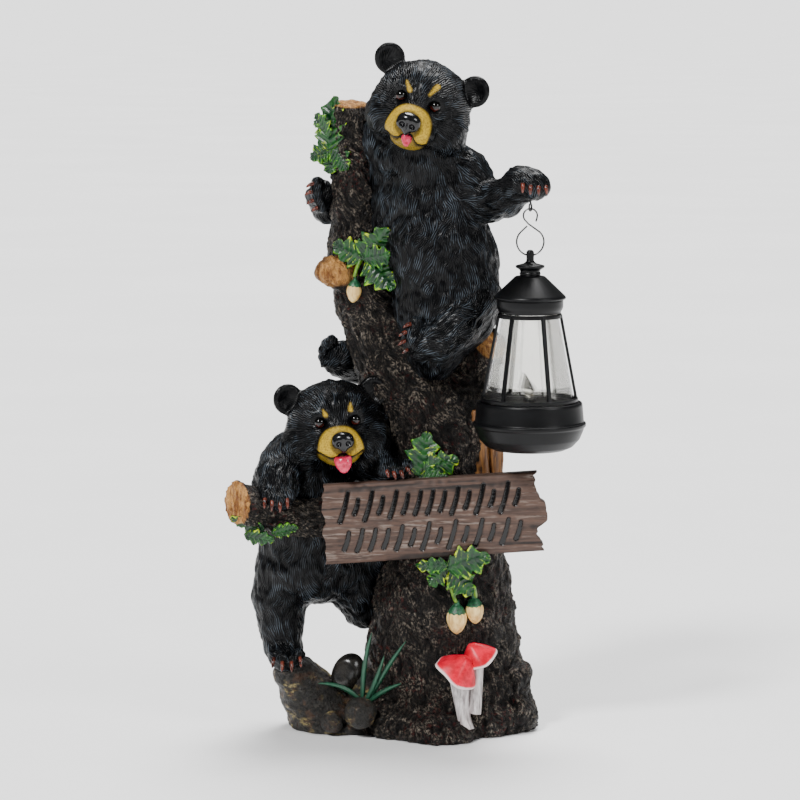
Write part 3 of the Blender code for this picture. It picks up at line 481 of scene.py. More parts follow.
def block(centre, half, turn=(0, 0, 0), round_by=0.5, melt=0.5, cut=False):
    """A box with rounded edges."""
    axes = rotation(turn)
    centre, half = np.array(centre, float), np.array(half, float)

    def distance(points):
        local = np.abs((points - centre) @ axes) - (half - round_by)
        outside = np.sqrt((np.maximum(local, 0) ** 2).sum(-1))
        return outside + np.minimum(local.max(-1), 0) - round_by

    reach = (np.abs(axes) * half).sum(1)
    return Form(distance, centre - reach, centre + reach, None, melt, cut)


def sawn_off(point, normal, reach):
    """Cuts away what lies beyond a plane, within reach of the point."""
    point, normal = np.array(point, float), np.array(normal, float) / np.linalg.norm(normal)

    def distance(points):
        away = points - point
        beyond = away @ normal
        aside = np.sqrt(np.maximum((away**2).sum(-1) - beyond**2, 0))
        return np.maximum(np.maximum(-beyond, beyond - 1.5 * reach), aside - reach)

    return Form(distance, point - 1.8 * reach, point + 1.8 * reach, None, 0.8, True)


def melted(forms, cell):
    """The grid of distances of forms melted together, with its lowest corner."""
    margin = 3 * cell
    solid = [f for f in forms if not f.cut]
    low = np.min([f.low for f in solid], axis=0) - margin
    high = np.max([f.high for f in solid], axis=0) + margin
    counts = np.ceil((high - low) / cell).astype(int) + 1
    grid = np.full(counts, 60.0, np.float32)
    for form in forms:
        pad = form.melt + 3 * cell
        first = np.clip(np.floor((form.low - pad - low) / cell).astype(int), 0, counts)
        last = np.clip(np.ceil((form.high + pad - low) / cell).astype(int) + 1, 0, counts)
        if (last <= first).any():
            continue
        axes = [low[i] + cell * np.arange(first[i], last[i]) for i in range(3)]
        points = np.stack(np.meshgrid(*axes, indexing="ij"), -1)
        window = tuple(slice(a, b) for a, b in zip(first, last))
        new, old = form.distance(points), grid[window]
        sign = -1 if form.cut else 1
        share = np.clip(0.5 + 0.5 * (old - sign * new) * sign / form.melt, 0, 1)
        grid[window] = (old * (1 - share) + sign * new * share - sign * form.melt * share * (1 - share))
    return grid, low


def skin(grid, low, cell):
    """Quads on the surface where the grid of distances is nought, one corner in each crossed cell."""
    inside = grid < 0
    shape = np.array(grid.shape)
    total = np.zeros((*(shape - 1), 3), np.float32)
    count = np.zeros(shape - 1, np.float32)
    crossings = []
    for axis in range(3):
        lead = [slice(None)] * 3
        lag = [slice(None)] * 3
        lead[axis], lag[axis] = slice(1, None), slice(None, -1)
        near, far = grid[tuple(lag)], grid[tuple(lead)]
        crossed = inside[tuple(lag)] != inside[tuple(lead)]
        where = np.argwhere(crossed)
        if not len(where):
            continue
        a, b = near[crossed], far[crossed]
        points = where.astype(np.float32)
        points[:, axis] += a / (a - b)
        others = [i for i in range(3) if i != axis]
        for shift_a in (0, 1):
            for shift_b in (0, 1):
                cells = where.copy()
                cells[:, others[0]] -= shift_a
                cells[:, others[1]] -= shift_b
                good = ((cells >= 0) & (cells < shape - 1)).all(1)
                index = tuple(cells[good].T)
                np.add.at(total, index, points[good])
                np.add.at(count, index, 1)
        crossings.append((axis, where, inside[tuple(lag)][crossed]))
    used = count > 0
    number = np.full(used.shape, -1)
    number[used] = np.arange(used.sum())
    corners = low + cell * (total[used] / count[used][:, None])
    quads = []
    for axis, where, starts_inside in crossings:
        u, v = [(axis + 1) % 3, (axis + 2) % 3]
        ring = []
        for shift_u, shift_v in ((0, 0), (1, 0), (1, 1), (0, 1)):
            cells = where.copy()
            cells[:, u] -= shift_u
            cells[:, v] -= shift_v
            ring.append(number[tuple(cells.T)])
        faces = np.stack(ring, 1)
        faces[~starts_inside] = faces[~starts_inside][:, ::-1]
        quads.append(faces)
    return corners, np.concatenate(quads)


def face_normals(points, quads):
    return np.cross(points[quads[:, 2]] - points[quads[:, 0]], points[quads[:, 3]] - points[quads[:, 1]])


def point_normals(points, quads):
    flat = face_normals(points, quads)
    total = np.zeros_like(points)
    for k in range(4):
        np.add.at(total, quads[:, k], flat)
    return total / (np.linalg.norm(total, axis=1)[:, None] + 1e-12)


def evened(points, quads, rounds):
    """Relaxes the corners towards their neighbours' mean."""
    for _ in range(rounds):
        total = np.zeros_like(points)
        count = np.zeros(len(points))
        for k in range(4):
            a, b = quads[:, k], quads[:, (k + 1) % 4]
            np.add.at(total, a, points[b])
            np.add.at(total, b, points[a])
            np.add.at(count, a, 1)
            np.add.at(count, b, 1)
        points = points * 0.5 + 0.5 * total / count[:, None]
    return points


LATTICE = {}
LATTICE_SIZE = 64


def grains(points, size, seed):
    """Smooth random values between about -1 and 1, one to each cube of the given size."""
    if seed not in LATTICE:
        LATTICE[seed] = np.random.default_rng(seed).uniform(-1, 1, (LATTICE_SIZE,) * 3).astype(np.float32)
    lattice = LATTICE[seed]
    scaled = points / size
    base = np.floor(scaled)
    part = (scaled - base).astype(np.float32)
    part = part * part * (3 - 2 * part)
    base = base.astype(int) % LATTICE_SIZE
    after = (base + 1) % LATTICE_SIZE
    total = 0
    for corner in range(8):
        pick = [(corner >> i) & 1 for i in range(3)]
        index = tuple(after[..., i] if pick[i] else base[..., i] for i in range(3))
        weight = 1
        for i in range(3):
            weight = weight * (part[..., i] if pick[i] else 1 - part[..., i])
        total = total + weight * lattice[index]
    return total


def grain_vectors(points, size, seed):
    """Random vectors that change smoothly over the given size."""
    return np.stack([grains(points, size, seed + i) for i in range(3)], 1)


def combed(points, flow, width, length, seed):
    """Strands: random grains smeared along the flow. About -1 to 1."""
    steps = 4
    total = 0
    for k in range(-steps, steps + 1):
        along = points + flow * (k * length / (2 * steps))
        total = total + (1 - abs(k) / (steps + 1)) * grains(along, width, seed)
    return np.clip(total / 1.9, -1, 1)


def fur_flow(points, normals, forms, reach=4.0):
    """The way fur lies at each point, blended from the forms near it and kept along the surface."""
    total = np.zeros_like(points)
    for form in forms:
        if form.flow is None:
            continue
        away = form.distance(points)
        total += np.exp(-np.clip(away, -8, 60) / reach)[:, None] * form.flow
    swirl = 0.5 * grain_vectors(points, 15.0, 70) + 0.6 * grain_vectors(points, 6.0, 73)
    return along_surface(total + swirl * np.linalg.norm(total, axis=1)[:, None], normals)


def along_surface(flow, normals):
    flow = flow - normals * (flow * normals).sum(1)[:, None]
    return flow / (np.linalg.norm(flow, axis=1)[:, None] + 1e-9)


def smooth_step(value, low, high):
    share = np.clip((value - low) / (high - low), 0, 1)
    return share * share * (3 - 2 * share)


def finish_mesh(name, points, faces, material, attributes=None, smooth=True):
    """Makes an object from points in millimetres, with its finish and its marks as attributes."""
    mesh = bpy.data.meshes.new(name)
    mesh.from_pydata((np.asarray(points) * MM).tolist(), [], faces.tolist())
    for key, values in (attributes or {}).items():
        values = np.asarray(values, np.float32)
        kind, field = ("FLOAT", "value") if values.ndim == 1 else ("FLOAT_VECTOR", "vector")
        mesh.attributes.new(key, kind, "POINT").data.foreach_set(field, values.ravel())
    mesh.materials.append(material)
    if smooth:
        mesh.shade_smooth()
    made = bpy.data.objects.new(name, mesh)
    bpy.context.scene.collection.objects.link(made)
    return made


def belongs(piece, node="statue_casting"):
    """Rides a piece on the statue, in place of a CAD node, which it hides."""
    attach(piece, "root")
    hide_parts(node)
    return piece


def joined_piece(name, shells, material, share_name=None):
    """Joins shells into one piece of the casting, with their shares as a named attribute."""
    points, faces, shares = joined(shells)
    belongs(finish_mesh(name, points, faces, material, {share_name: shares} if share_name else None))


# Cubs


DOWN = (0, 0.1, -1)
UPPER_HEAD = Head((14, -28, 406), 18, -8, 7)
LOWER_HEAD = Head((-42, -24, 201), -4, 6, 1)
HEAD_RADIUS = 31

# Each face in its own head's axes: how far the mouth and chin are lifted, the nose's shift and size,
# the ears' middles, the brow marks as outer and inner end with their radii, and the mouth line from
# corner to corner
UPPER_FACE = {
    "lift": 0.0,
    "nose": (0.0, -2.2, 1.0),
    "ears": ((-29.4, 21.2), (29.0, 17.8)),
    "brows": (((-10.8, 15.4, 0.4), (-6.8, 10.8, 1.5)), ((9.0, 17.4, 1.6), (6.2, 11.6, 0.6))),
    "mouth": ((-13.4, -18.0), (-7.1, -20.2), (2.6, -15.6), (9.8, -20.6), (16.5, -18.4)),
}
LOWER_FACE = {
    "lift": 2.6,
    "nose": (1.5, -0.8, 0.92),
    "ears": ((-28.4, 17.8), (26.9, 18.6)),
    "brows": (((-8.8, 13.6, 0.3), (-7.6, 10.4, 1.4)), ((9.0, 16.2, 0.4), (8.7, 12.4, 1.4))),
    "mouth": ((-16.0, -12.6), (-5.6, -17.4), (1.0, -15.0), (7.0, -17.4), (14.8, -13.6)),
}
EYE_PLACE = (11.4, -24.0, 5.4)


def head_forms(head, face):
    """Skull, cheeks, brow, muzzle, lips, chin and cupped ears, around the head's centre."""
    lift = face["lift"]
    forms = [
        lump((0, 1, 0), (31, 27, 28.5), melt=8, head=head),
        lump((0, -10, 8), (22, 17, 17), melt=8, head=head),
        lump((0, -22, -9), (15.5, 15, 12), (-8, 0, 0), melt=6, head=head),
        lump((0, -31, -7), (11.5, 9, 9), melt=4, head=head),
        lump((0.8, -21, -20 + lift), (12, 14, 6.5), melt=2, head=head),
        lump((0, -17, 3), (8, 14, 9), melt=6, head=head),
    ]
    for side, (ear_x, ear_z) in zip((-1, 1), face["ears"]):
        eye_x, _, eye_z = EYE_PLACE
        ear_turn = (0, side * 22, side * -12)
        ear_cup = (ear_x + side * 0.2, 0.8, ear_z + 0.2)
        forms += [
            lump((side * 20, -4, -11), (13, 17, 14), melt=8, head=head),
            lump((side * 7.8 + 0.8, -29.5, -13 + lift), (8.8, 9, 6.6), melt=3, head=head),
            lump((side * 11.3, -21.8, eye_z + 5), (6.4, 4, 2.6), (0, side * -16, 0), melt=3, head=head),
            lump((side * 12.3, -23, eye_z - 4.9), (6.2, 4, 2.4), (0, side * 14, 0), melt=3, head=head),
            lump((ear_x, 6, ear_z), (10.0, 4.2, 10.4), ear_turn, melt=3, head=head),
            lump(ear_cup, (7.4, 4.6, 7.8), ear_turn, melt=2.5, cut=True, head=head),
            lump((side * eye_x, -27.6, eye_z), (4.2, 4.0, 3.7), melt=1.2, cut=True, head=head),
        ]
    return forms


def ears_apart(local, face):
    """How far each point belongs to an ear, nought away from them."""
    total = 0
    for side, (ear_x, ear_z) in zip((-1, 1), face["ears"]):
        away = np.sqrt(((local - np.array([ear_x + side, 3, ear_z + 1])) ** 2).sum(1))
        total = total + smooth_step(away, 13.5, 10.0)
    return np.clip(total, 0, 1)


def mouth_height(x, face):
    """Height of the mouth line at x: a shallow W from corner to corner under the nose."""
    height = np.full(x.shape, face["mouth"][0][1])
    for (x0, z0), (x1, z1) in zip(face["mouth"], face["mouth"][1:]):
        height = np.where(x > x0, z0 + (z1 - z0) * smooth_step(x, x0, x1), height)
    return height


def paint_face(local, face):
    """Shares of ochre and of ink on the face, and how short the fur is there."""
    x, y, z = local.T
    front = smooth_step(y, -14, -18)
    middle = -11.5
    above = np.clip((z - middle) / 15, 0, 1)
    tall = np.where(z > middle, 14.8, 14.6 - 1.3 * face["lift"])
    ring = np.sqrt((np.abs(x) / (14.6 - 1.6 * above)) ** 2.3 + (np.abs(z - middle) / tall) ** 2.3)
    ochre = smooth_step(ring, 1.05, 0.93) * smooth_step(y, -11, -15)
    line = mouth_height(x, face)
    left, right = face["mouth"][0][0], face["mouth"][-1][0]
    chin = smooth_step(z, line, line - 1.5)
    ochre = ochre * (1 - 0.5 * chin)
    for (x0, z0, radius0), (x1, z1, radius1) in face["brows"]:
        along = np.array([x1 - x0, z1 - z0])
        away = np.stack([x - x0, z - z0], 1)
        share = np.clip(away @ along / (along @ along), 0, 1)
        gap = np.linalg.norm(away - share[:, None] * along, axis=1)
        radius = radius0 + (radius1 - radius0) * share
        ochre = np.maximum(ochre, smooth_step(gap, radius + 0.6, radius - 0.6) * smooth_step(y, -12, -15))
    gap = np.where((x > left) & (x < right), np.abs(z - line), 9)
    groove = smooth_step(gap, 1.6, 0.6) * smooth_step(y, -15, -19)
    nose_x, nose_z, nose_size = face["nose"]
    from_nose = np.hypot((x - nose_x) / 8.3, (z + 6.6 - nose_z) / 8.6) / nose_size
    nose_rim = smooth_step(from_nose, 1.12, 0.95) * smooth_step(y, -33, -36)
    ink = np.clip(groove + 0.7 * nose_rim, 0, 1)
    bare = np.clip(ochre + ears_apart(local, face) + smooth_step(ring, 1.2, 1.0) * front, 0, 1)
    for side in (-1, 1):
        away = np.sqrt((x - side * EYE_PLACE[0]) ** 2 + (z - EYE_PLACE[2]) ** 2)
        bare = np.maximum(bare, smooth_step(away, 6.8, 5.0) * front)
    return ochre, ink, bare


def cub_body(name, forms, head, face, sizes, material):
    """Melts a cub together, combs fur into it, and paints its face."""
    cell = sizes.fur_cell / MM
    points, quads = skin(*melted(forms, cell), cell)
    points = evened(points, quads, 2)
    normals = point_normals(points, quads)
    flow = fur_flow(points, normals, forms)
    local = head.local(points)
    from_head = np.linalg.norm(local * np.array([1, 1.05, 1.05]), axis=1)
    on_head = smooth_step(from_head, HEAD_RADIUS + 10, HEAD_RADIUS + 1)
    brushed_back = along_surface(points - head.place((0, -38, -6)), normals)
    share = on_head[:, None]
    flow = along_surface((flow * (1 - share) + brushed_back * share) + 0.25 * flow, normals)
    ochre, ink, bare = paint_face(local, face)
    long_fur = 1 - bare
    short = smooth_step(from_head, HEAD_RADIUS + 6, HEAD_RADIUS - 1) * smooth_step(local[:, 1], 10, -8)
    grain, length = sizes.fur_grain / MM, sizes.fur_length / MM
    hairs = combed(points, flow, grain, length, 1)
    tufts = combed(points, flow, grain * 2.1, length * 1.5, 2)
    locks = combed(points, flow, grain * 4.0, length * 2.2, 3)
    depth = sizes.fur_depth / MM * long_fur * (1 - 0.6 * short)
    relief = depth * (0.6 * hairs + 0.45 * tufts + 0.3 * locks)
    pores = 0.1 * grains(points, 1.4, 9) * ochre
    points = points + normals * (relief + pores - 1.2 * ink)[:, None]
    ridge = np.clip(0.5 + 0.5 * hairs + 0.3 * tufts, 0, 1) * long_fur + 0.3 * (1 - long_fur)
    points[:, 2] = np.maximum(points[:, 2], 0.2)
    marks = {"ridge": ridge, "ochre": ochre, "ink": ink, "bare": bare, "across": np.cross(normals, flow)}
    belongs(finish_mesh(name, points, quads, material, marks))


def palm(centre, size, toes, toe_size):
    """A paw's pad with a toe behind each claw; toes lie at the claws' roots."""
    forms = [lump(centre, size, flow=(0, -0.5, -1), melt=4)]
    for x, y, z in toes:
        forms.append(lump((x, y, z), toe_size, flow=(0, -0.5, -1), melt=1.4))
    return forms


def toes_behind(paw_claws, back):
    """Toe middles: each claw's root moved back along the paw."""
    return [tuple(np.array(root) + np.array(back)) for root, _ in paw_claws]


# Roots and tips of the painted claws, paw by paw
UPPER_CLAWS = {
    "held_out": (
        ((76.9, -66.5, 358.2), (76.6, -68.6, 352.4)),
        ((81.6, -67.4, 357.2), (81.4, -69.4, 351.2)),
        ((86.6, -66.8, 356.4), (86.8, -68.8, 350.6)),
        ((91.2, -64.4, 356.6), (92.0, -66.0, 351.2)),
    ),
    "round_branch": (
        ((-55.6, -6.0, 355.2), (-60.4, -7.0, 352.6)),
        ((-56.6, -6.0, 349.8), (-61.4, -7.0, 347.4)),
        ((-56.0, -6.0, 344.2), (-60.2, -7.0, 341.6)),
        ((-53.2, -6.0, 339.4), (-57.2, -7.0, 336.8)),
    ),
    "front_foot": (
        ((6.4, -44.5, 268.0), (2.0, -47.6, 265.8)),
        ((3.8, -45.6, 263.0), (-0.8, -48.2, 260.4)),
        ((3.2, -45.6, 257.4), (-1.2, -48.0, 254.6)),
        ((5.4, -44.5, 251.8), (1.2, -46.6, 249.0)),
    ),
}
LOWER_CLAWS = {
    "over_stub": (
        ((-85.4, -65.6, 159.0), (-85.8, -68.4, 153.0)),
        ((-80.8, -66.8, 157.7), (-81.0, -69.2, 151.4)),
        ((-75.9, -66.8, 157.0), (-75.8, -69.2, 150.7)),
        ((-71.4, -65.2, 159.0), (-71.0, -68.0, 152.7)),
    ),
    "on_board": (
        ((-8.4, -49.6, 174.8), (-7.2, -52.6, 170.6)),
        ((-4.0, -50.6, 174.0), (-2.6, -53.4, 169.4)),
        ((0.6, -50.6, 174.2), (2.2, -53.2, 169.8)),
        ((4.4, -48.6, 176.4), (6.8, -51.0, 172.4)),
    ),
    "foot": (
        ((-81.6, -30.4, 49.4), (-82.6, -34.2, 43.6)),
        ((-76.0, -32.4, 47.4), (-76.2, -36.4, 41.4)),
        ((-70.2, -32.4, 47.4), (-69.8, -36.4, 41.4)),
        ((-64.8, -30.4, 49.8), (-63.8, -34.2, 44.2)),
    ),
}


def upper_cub_forms():
    """The climbing cub: sits in the fork, hugs the branch behind and holds out a paw."""
    claws = UPPER_CLAWS
    forms = [
        lump((22, -14, 345), (31, 25, 32), flow=DOWN, melt=8),
        lump((24, -15, 315), (35, 29, 36), flow=DOWN, melt=8),
        lump((30, -14, 280), (34.5, 30, 36), flow=DOWN, melt=8),
        lump((32, -12, 302), (31.5, 27, 28), flow=DOWN, melt=8),
        lump((22, -12, 251), (19, 25, 21), flow=DOWN, melt=8),
        lump((20, -6, 238), (13, 17, 13), flow=DOWN, melt=8),
        lump((12, -24, 372), (24, 16, 15), flow=DOWN, melt=8),
        lump((-5, -10, 372), (14, 16, 16), flow=DOWN, melt=6),
        lump((-13, -6, 384), (11, 12, 16), flow=DOWN, melt=6),
        lump((-2, -4, 336), (16, 20, 36), flow=DOWN, melt=6),
        lump((43, -20, 365), (14, 15, 13), flow=(1, -0.2, -0.5), melt=6),
        lump((36, 18, 248), (6, 7, 7), flow=DOWN, melt=4),
    ]
    forms += limb((30, -16, 368, 17), (40, -18, 357, 17), (57, -28, 345, 12.5), (67, -40, 348, 11.5))
    forms += limb((67, -40, 348, 11.5), (77, -50, 357, 10.8), (84, -56, 357, 9.5))
    forms += palm((84, -58, 356.5), (9.6, 8, 7.2), toes_behind(claws["held_out"], (0, 3.2, 0.6)), 3.5)
    forms += limb((-4, -2, 362, 14), (-18, 16, 355, 11), (-33, 27, 347, 10), (-47, 17, 338, 9.5))
    forms += limb((-47, 17, 338, 9.5), (-51, 8, 345, 9.5))
    forms += palm((-51.5, 3, 347.5), (8.4, 8, 10), toes_behind(claws["round_branch"], (2.8, 2.2, 0.4)), 3.7)
    forms += limb((49, -22, 284, 17), (38, -37, 267, 14), (25, -41.5, 256, 12), (14, -41, 254.5, 11), melt=2)
    forms += palm((9, -39, 258), (8, 8, 10), toes_behind(claws["front_foot"], (3.2, 2.6, 0.4)), 3.8)
    forms += limb((10, 12, 250, 16), (-8, 26, 240, 14), (-26, 24, 235, 12), (-37, 14, 238, 11))
    rear_toes = (
        (-43.6, 4, 252.6), (-47.6, 3, 250.2), (-49.9, 3, 246.2), (-50.6, 4, 242.0), (-49.6, 5, 237.6),
    )
    forms += palm((-41, 11, 241), (10, 9, 11), rear_toes, 3.4)
    return forms + head_forms(UPPER_HEAD, UPPER_FACE)


def lower_cub_forms():
    """The standing cub: leans on the stub, one paw over it and the other over the board."""
    claws = LOWER_CLAWS
    forms = [
        lump((-46, -6, 178), (32, 28, 20), flow=DOWN, melt=8),
        lump((-60, -6, 162), (31, 30, 30), flow=DOWN, melt=8),
        lump((-60, -5, 136), (34, 30, 36), flow=DOWN, melt=8),
        lump((-58, -4, 106), (35, 29, 25), flow=DOWN, melt=8),
        lump((-18, -4, 192), (16, 18, 24), flow=DOWN, melt=6),
        lump((-15, 1, 120), (20, 18, 24), flow=DOWN, melt=6),
        lump((-60, 24, 100), (6, 7, 7), flow=DOWN, melt=4),
    ]
    forms += limb((-77, -4, 102, 18), (-78, -5, 86, 17), (-78, -5, 68, 14), (-76, -8, 54, 13))
    forms += palm((-74.5, -19, 48), (10.5, 10.5, 8.5), toes_behind(claws["foot"], (0.2, 3.4, 1.4)), 4.0)
    forms += limb((-37, -1, 104, 19), (-29, 1, 90, 16), (-24, 4, 76, 13))
    forms += limb((-72, -12, 178, 16), (-76, -28, 173, 15), (-79, -42, 167, 14), (-79, -50, 162.5, 12.5))
    forms += palm((-79, -53.5, 160), (11.5, 8.5, 9.5), toes_behind(claws["over_stub"], (0.2, 3.6, 1.2)), 4.1)
    forms += limb((-28, -14, 180, 14), (-18, -24, 175, 12), (-9, -38, 173, 10))
    forms += palm((-4, -42, 174), (9.5, 7.5, 7.5), toes_behind(claws["on_board"], (-0.6, 3.4, 1.0)), 3.7)
    return forms + head_forms(LOWER_HEAD, LOWER_FACE)


# Stump


# Where branches were sawn or broken off: a point of the cut, the way it faces, and its reach
CUTS = (
    ((-32, 5, 406.5), (0.03, -0.16, 1), 17),
    ((-103, -60, 154.5), (-0.8, -0.6, 0.06), 18),
    ((57.6, -7.5, 250.5), (0.42, -0.66, 0.62), 12),
)
SLICE_HEIGHT = 124
SLICE_OVERLAP = 6
# The worn knob at the branch's bend: middle and half sizes
KNOB = ((-43.5, -13.5, 299.0), (10.5, 8.5, 9.5))


def trunk_forms():
    """The stump: flared foot, sawn branch, split fork, stub branch and the burrs round its foot."""
    forms = limb((37, 2, -14, 53), (33, 2, 16, 51), (28, 1, 49, 48), (27, 0, 82, 45), flat=0.86, melt=6)
    forms += limb((27, 0, 82, 45), (28, 1, 109, 39), (28, 2, 140, 35), (28, 2, 188, 34), flat=0.95, melt=6)
    forms += limb((28, 2, 188, 34), (24, 3, 204, 34), (0, 5, 226, 26), (-10, 5, 246, 21), flat=0.95, melt=6)
    forms += limb((-10, 5, 246, 21), (-21, 5, 279, 20.5), (-27, 5, 311, 18.5), (-30, 5, 344, 14), melt=6)
    forms += limb((-30, 5, 344, 14), (-31, 5, 376, 12), (-32, 5, 408, 11), melt=4)
    forms += limb((36, 5, 197, 25), (46, 3, 223, 16), (56, -2, 250, 12), melt=6)
    stub = ((-14, -16, 138, 13), (-50, -36, 142, 12.5), (-77, -44, 145, 11.5), (-106, -59, 156, 13.5))
    forms += limb(*stub, melt=4)
    forms += [lump((30, -16, 146), (34, 30, 24), melt=6)]
    forms += limb((-34, -6, 290, 8), (-40, -12, 297, 9), melt=3)
    forms += [lump(*KNOB, (0, 24, 12), melt=2), lump((-50, -13, 298), (5, 5.5, 4.6), melt=3)]
    forms += [
        lump((75, -12, 34), (11, 15, 11), melt=4),
        lump((76, -12, 8), (14, 22, 13), melt=4),
        lump((26, -42, 3), (24, 25, 15), melt=8),
        lump((4, -32, 5), (24, 20, 15), melt=8),
        lump((56, -26, 6), (18, 18, 14), melt=6),
        lump((60, 34, 6), (22, 20, 16), melt=6),
        lump((8, 36, 6), (24, 18, 16), melt=6),
        lump((-14, -12, 8), (22, 24, 20), melt=6),
        lump((65, -2, 98), (7, 8, 9), melt=4),
        lump((69, -6, 80), (6, 8, 7), melt=4),
    ]
    # Burrs that stand out along the right side and down the back
    for i in range(22):
        height = 18 + 5.1 * i
        angle = math.radians(-14 + 24 * math.sin(2.4 * i)) if i % 3 else math.radians(40 + 37 * i)
        out = 54.5 - 0.14 * height - 0.0009 * height**2
        middle = (30 + out * math.cos(angle), out * 0.86 * math.sin(angle), height)
        forms.append(lump(middle, (5.6, 3.8, 3.0), (0, 30 + 9 * (i % 4), math.degrees(angle)), melt=1.0))
    return forms + [sawn_off(*each) for each in CUTS]


def split_wood_forms():
    """Long shards of split wood on the right, between the board and the fork."""
    return [
        block((46.5, -17, 174), (4.2, 6.5, 36), (3, 3, 24), 1.2, 0.8),
        block((53.5, -15.5, 172), (4.6, 8, 36), (2, -2, -14), 1.2, 0.8),
        block((59.6, -10, 171), (4.4, 8, 35), (2, -4, 32), 1.2, 0.8),
    ]


def mound_forms():
    """The ground that the lower cub stands on."""
    return [
        lump((-34, -4, 2), (38, 32, 12), melt=6),
        lump((-52, -4, 10), (21, 26, 17), melt=6),
        lump((-60, -6, 22), (19, 24, 17), melt=5),
        lump((-68, -8, 35), (15, 19, 12), melt=4),
        lump((-22, -8, 24), (12, 14, 14), melt=5),
        lump((-22, -26, 17), (9, 9, 9), melt=5),
    ]


def sawn_share(points):
    """How much each point belongs to a sawn or broken end, or to the worn knob."""
    share = np.zeros(len(points))
    for point, normal, reach in CUTS:
        normal = np.array(normal, float) / np.linalg.norm(normal)
        away = points - np.array(point, float)
        beyond = away @ normal
        aside = np.linalg.norm(away - beyond[:, None] * normal, axis=1)
        on_cut = smooth_step(np.abs(beyond), 1.6, 0.9) * smooth_step(aside, reach, reach - 1)
        share = np.maximum(share, on_cut)
    middle, reach = np.array(KNOB[0]) + (2, 0, 0), np.array(KNOB[1]) + (3, 1.5, 0.5)
    from_knob = np.linalg.norm((points - middle) / reach, axis=1)
    return np.maximum(share, 0.85 * smooth_step(from_knob, 1.12, 0.92))


def sliced(grid, low, cell, above):
    """The grid of one side of a wavy level slice, so that the tall stump can be two pieces."""
    axes = [low[i] + cell * np.arange(grid.shape[i]) for i in range(3)]
    points = np.stack(np.meshgrid(*axes, indexing="ij"), -1)
    wave = 2.5 * grains(points * np.array([1, 1, 0]), 11.0, 50)
    gap = points[..., 2] - SLICE_HEIGHT - wave
    return np.maximum(grid, -gap if above else gap)


def rough_body(name, grid, low, forms, cell, depth, material, grain=2.0, flow_axis=None, length=7.0):
    """Skins a rough body and gives it furrows, plates, knobs and thin cracks."""
    points, quads = skin(grid, low, cell)
    points = evened(points, quads, 1)
    normals = point_normals(points, quads)
    if flow_axis is None:
        flow = fur_flow(points, normals, forms, 6.0)
        flow = along_surface(flow + 0.9 * grain_vectors(points, 7.0, 40), normals)
    else:
        flow = along_surface(np.array(flow_axis, float)[None] + np.zeros_like(points), normals)
    furrows = combed(points, flow, grain, length, 20)
    plates = combed(points, flow, grain * 2.2, length * 2, 21)
    knobs = grains(points, 4.0, 22) + 0.6 * grains(points, 2.0, 23)
    cracks = np.exp(-((plates / 0.13) ** 2))
    height = 0.6 * furrows + 0.4 * plates + 0.28 * knobs - 0.5 * cracks + 0.1
    end = sawn_share(points)
    height = height * (1 - 0.5 * end)
    points = points + normals * (depth * height)[:, None]
    points[:, 2] = np.maximum(points[:, 2], 0.0)
    ridge = np.clip(0.5 + 0.6 * height, 0, 1)
    marks = {"ridge": ridge, "sawn": end, "across": np.cross(normals, flow)}
    belongs(finish_mesh(name, points, quads, material, marks))


# Board


BOARD = {"centre": (21, -49, 144.5), "size": (141, 13, 51), "tilt": 3.7}
STROKE_ROWS = ((11.0, 18.0, 15), (-10.8, 17.0, 14))


def board_matrix():
    tilt = Matrix.Rotation(math.radians(-BOARD["tilt"]), 4, "Y")
    return Matrix.Translation(Vector(BOARD["centre"])) @ tilt


def stroke_distance(x, z):
    """Distance to rows of short slanted strokes, in the board's plane."""
    best = np.full(x.shape, 99.0)
    for row, (height, length, count) in enumerate(STROKE_ROWS):
        for i in range(count):
            middle = -60 + 118 * (i + 0.5) / count
            half = length / 2 * (0.74 + 0.26 * math.cos(2.9 * i + 2 * row))
            lean = 0.34 * half
            away_x, away_z = x - (middle - lean), z - (height - half)
            share = np.clip((away_x * lean + away_z * half) / (lean**2 + half**2) / 2, 0, 1)
            bent = away_x - share * 2 * lean - 0.5 * np.sin(share * math.pi)
            gap = np.hypot(bent, away_z - share * 2 * half)
            best = np.minimum(best, gap + 0.35 * share)
    return best


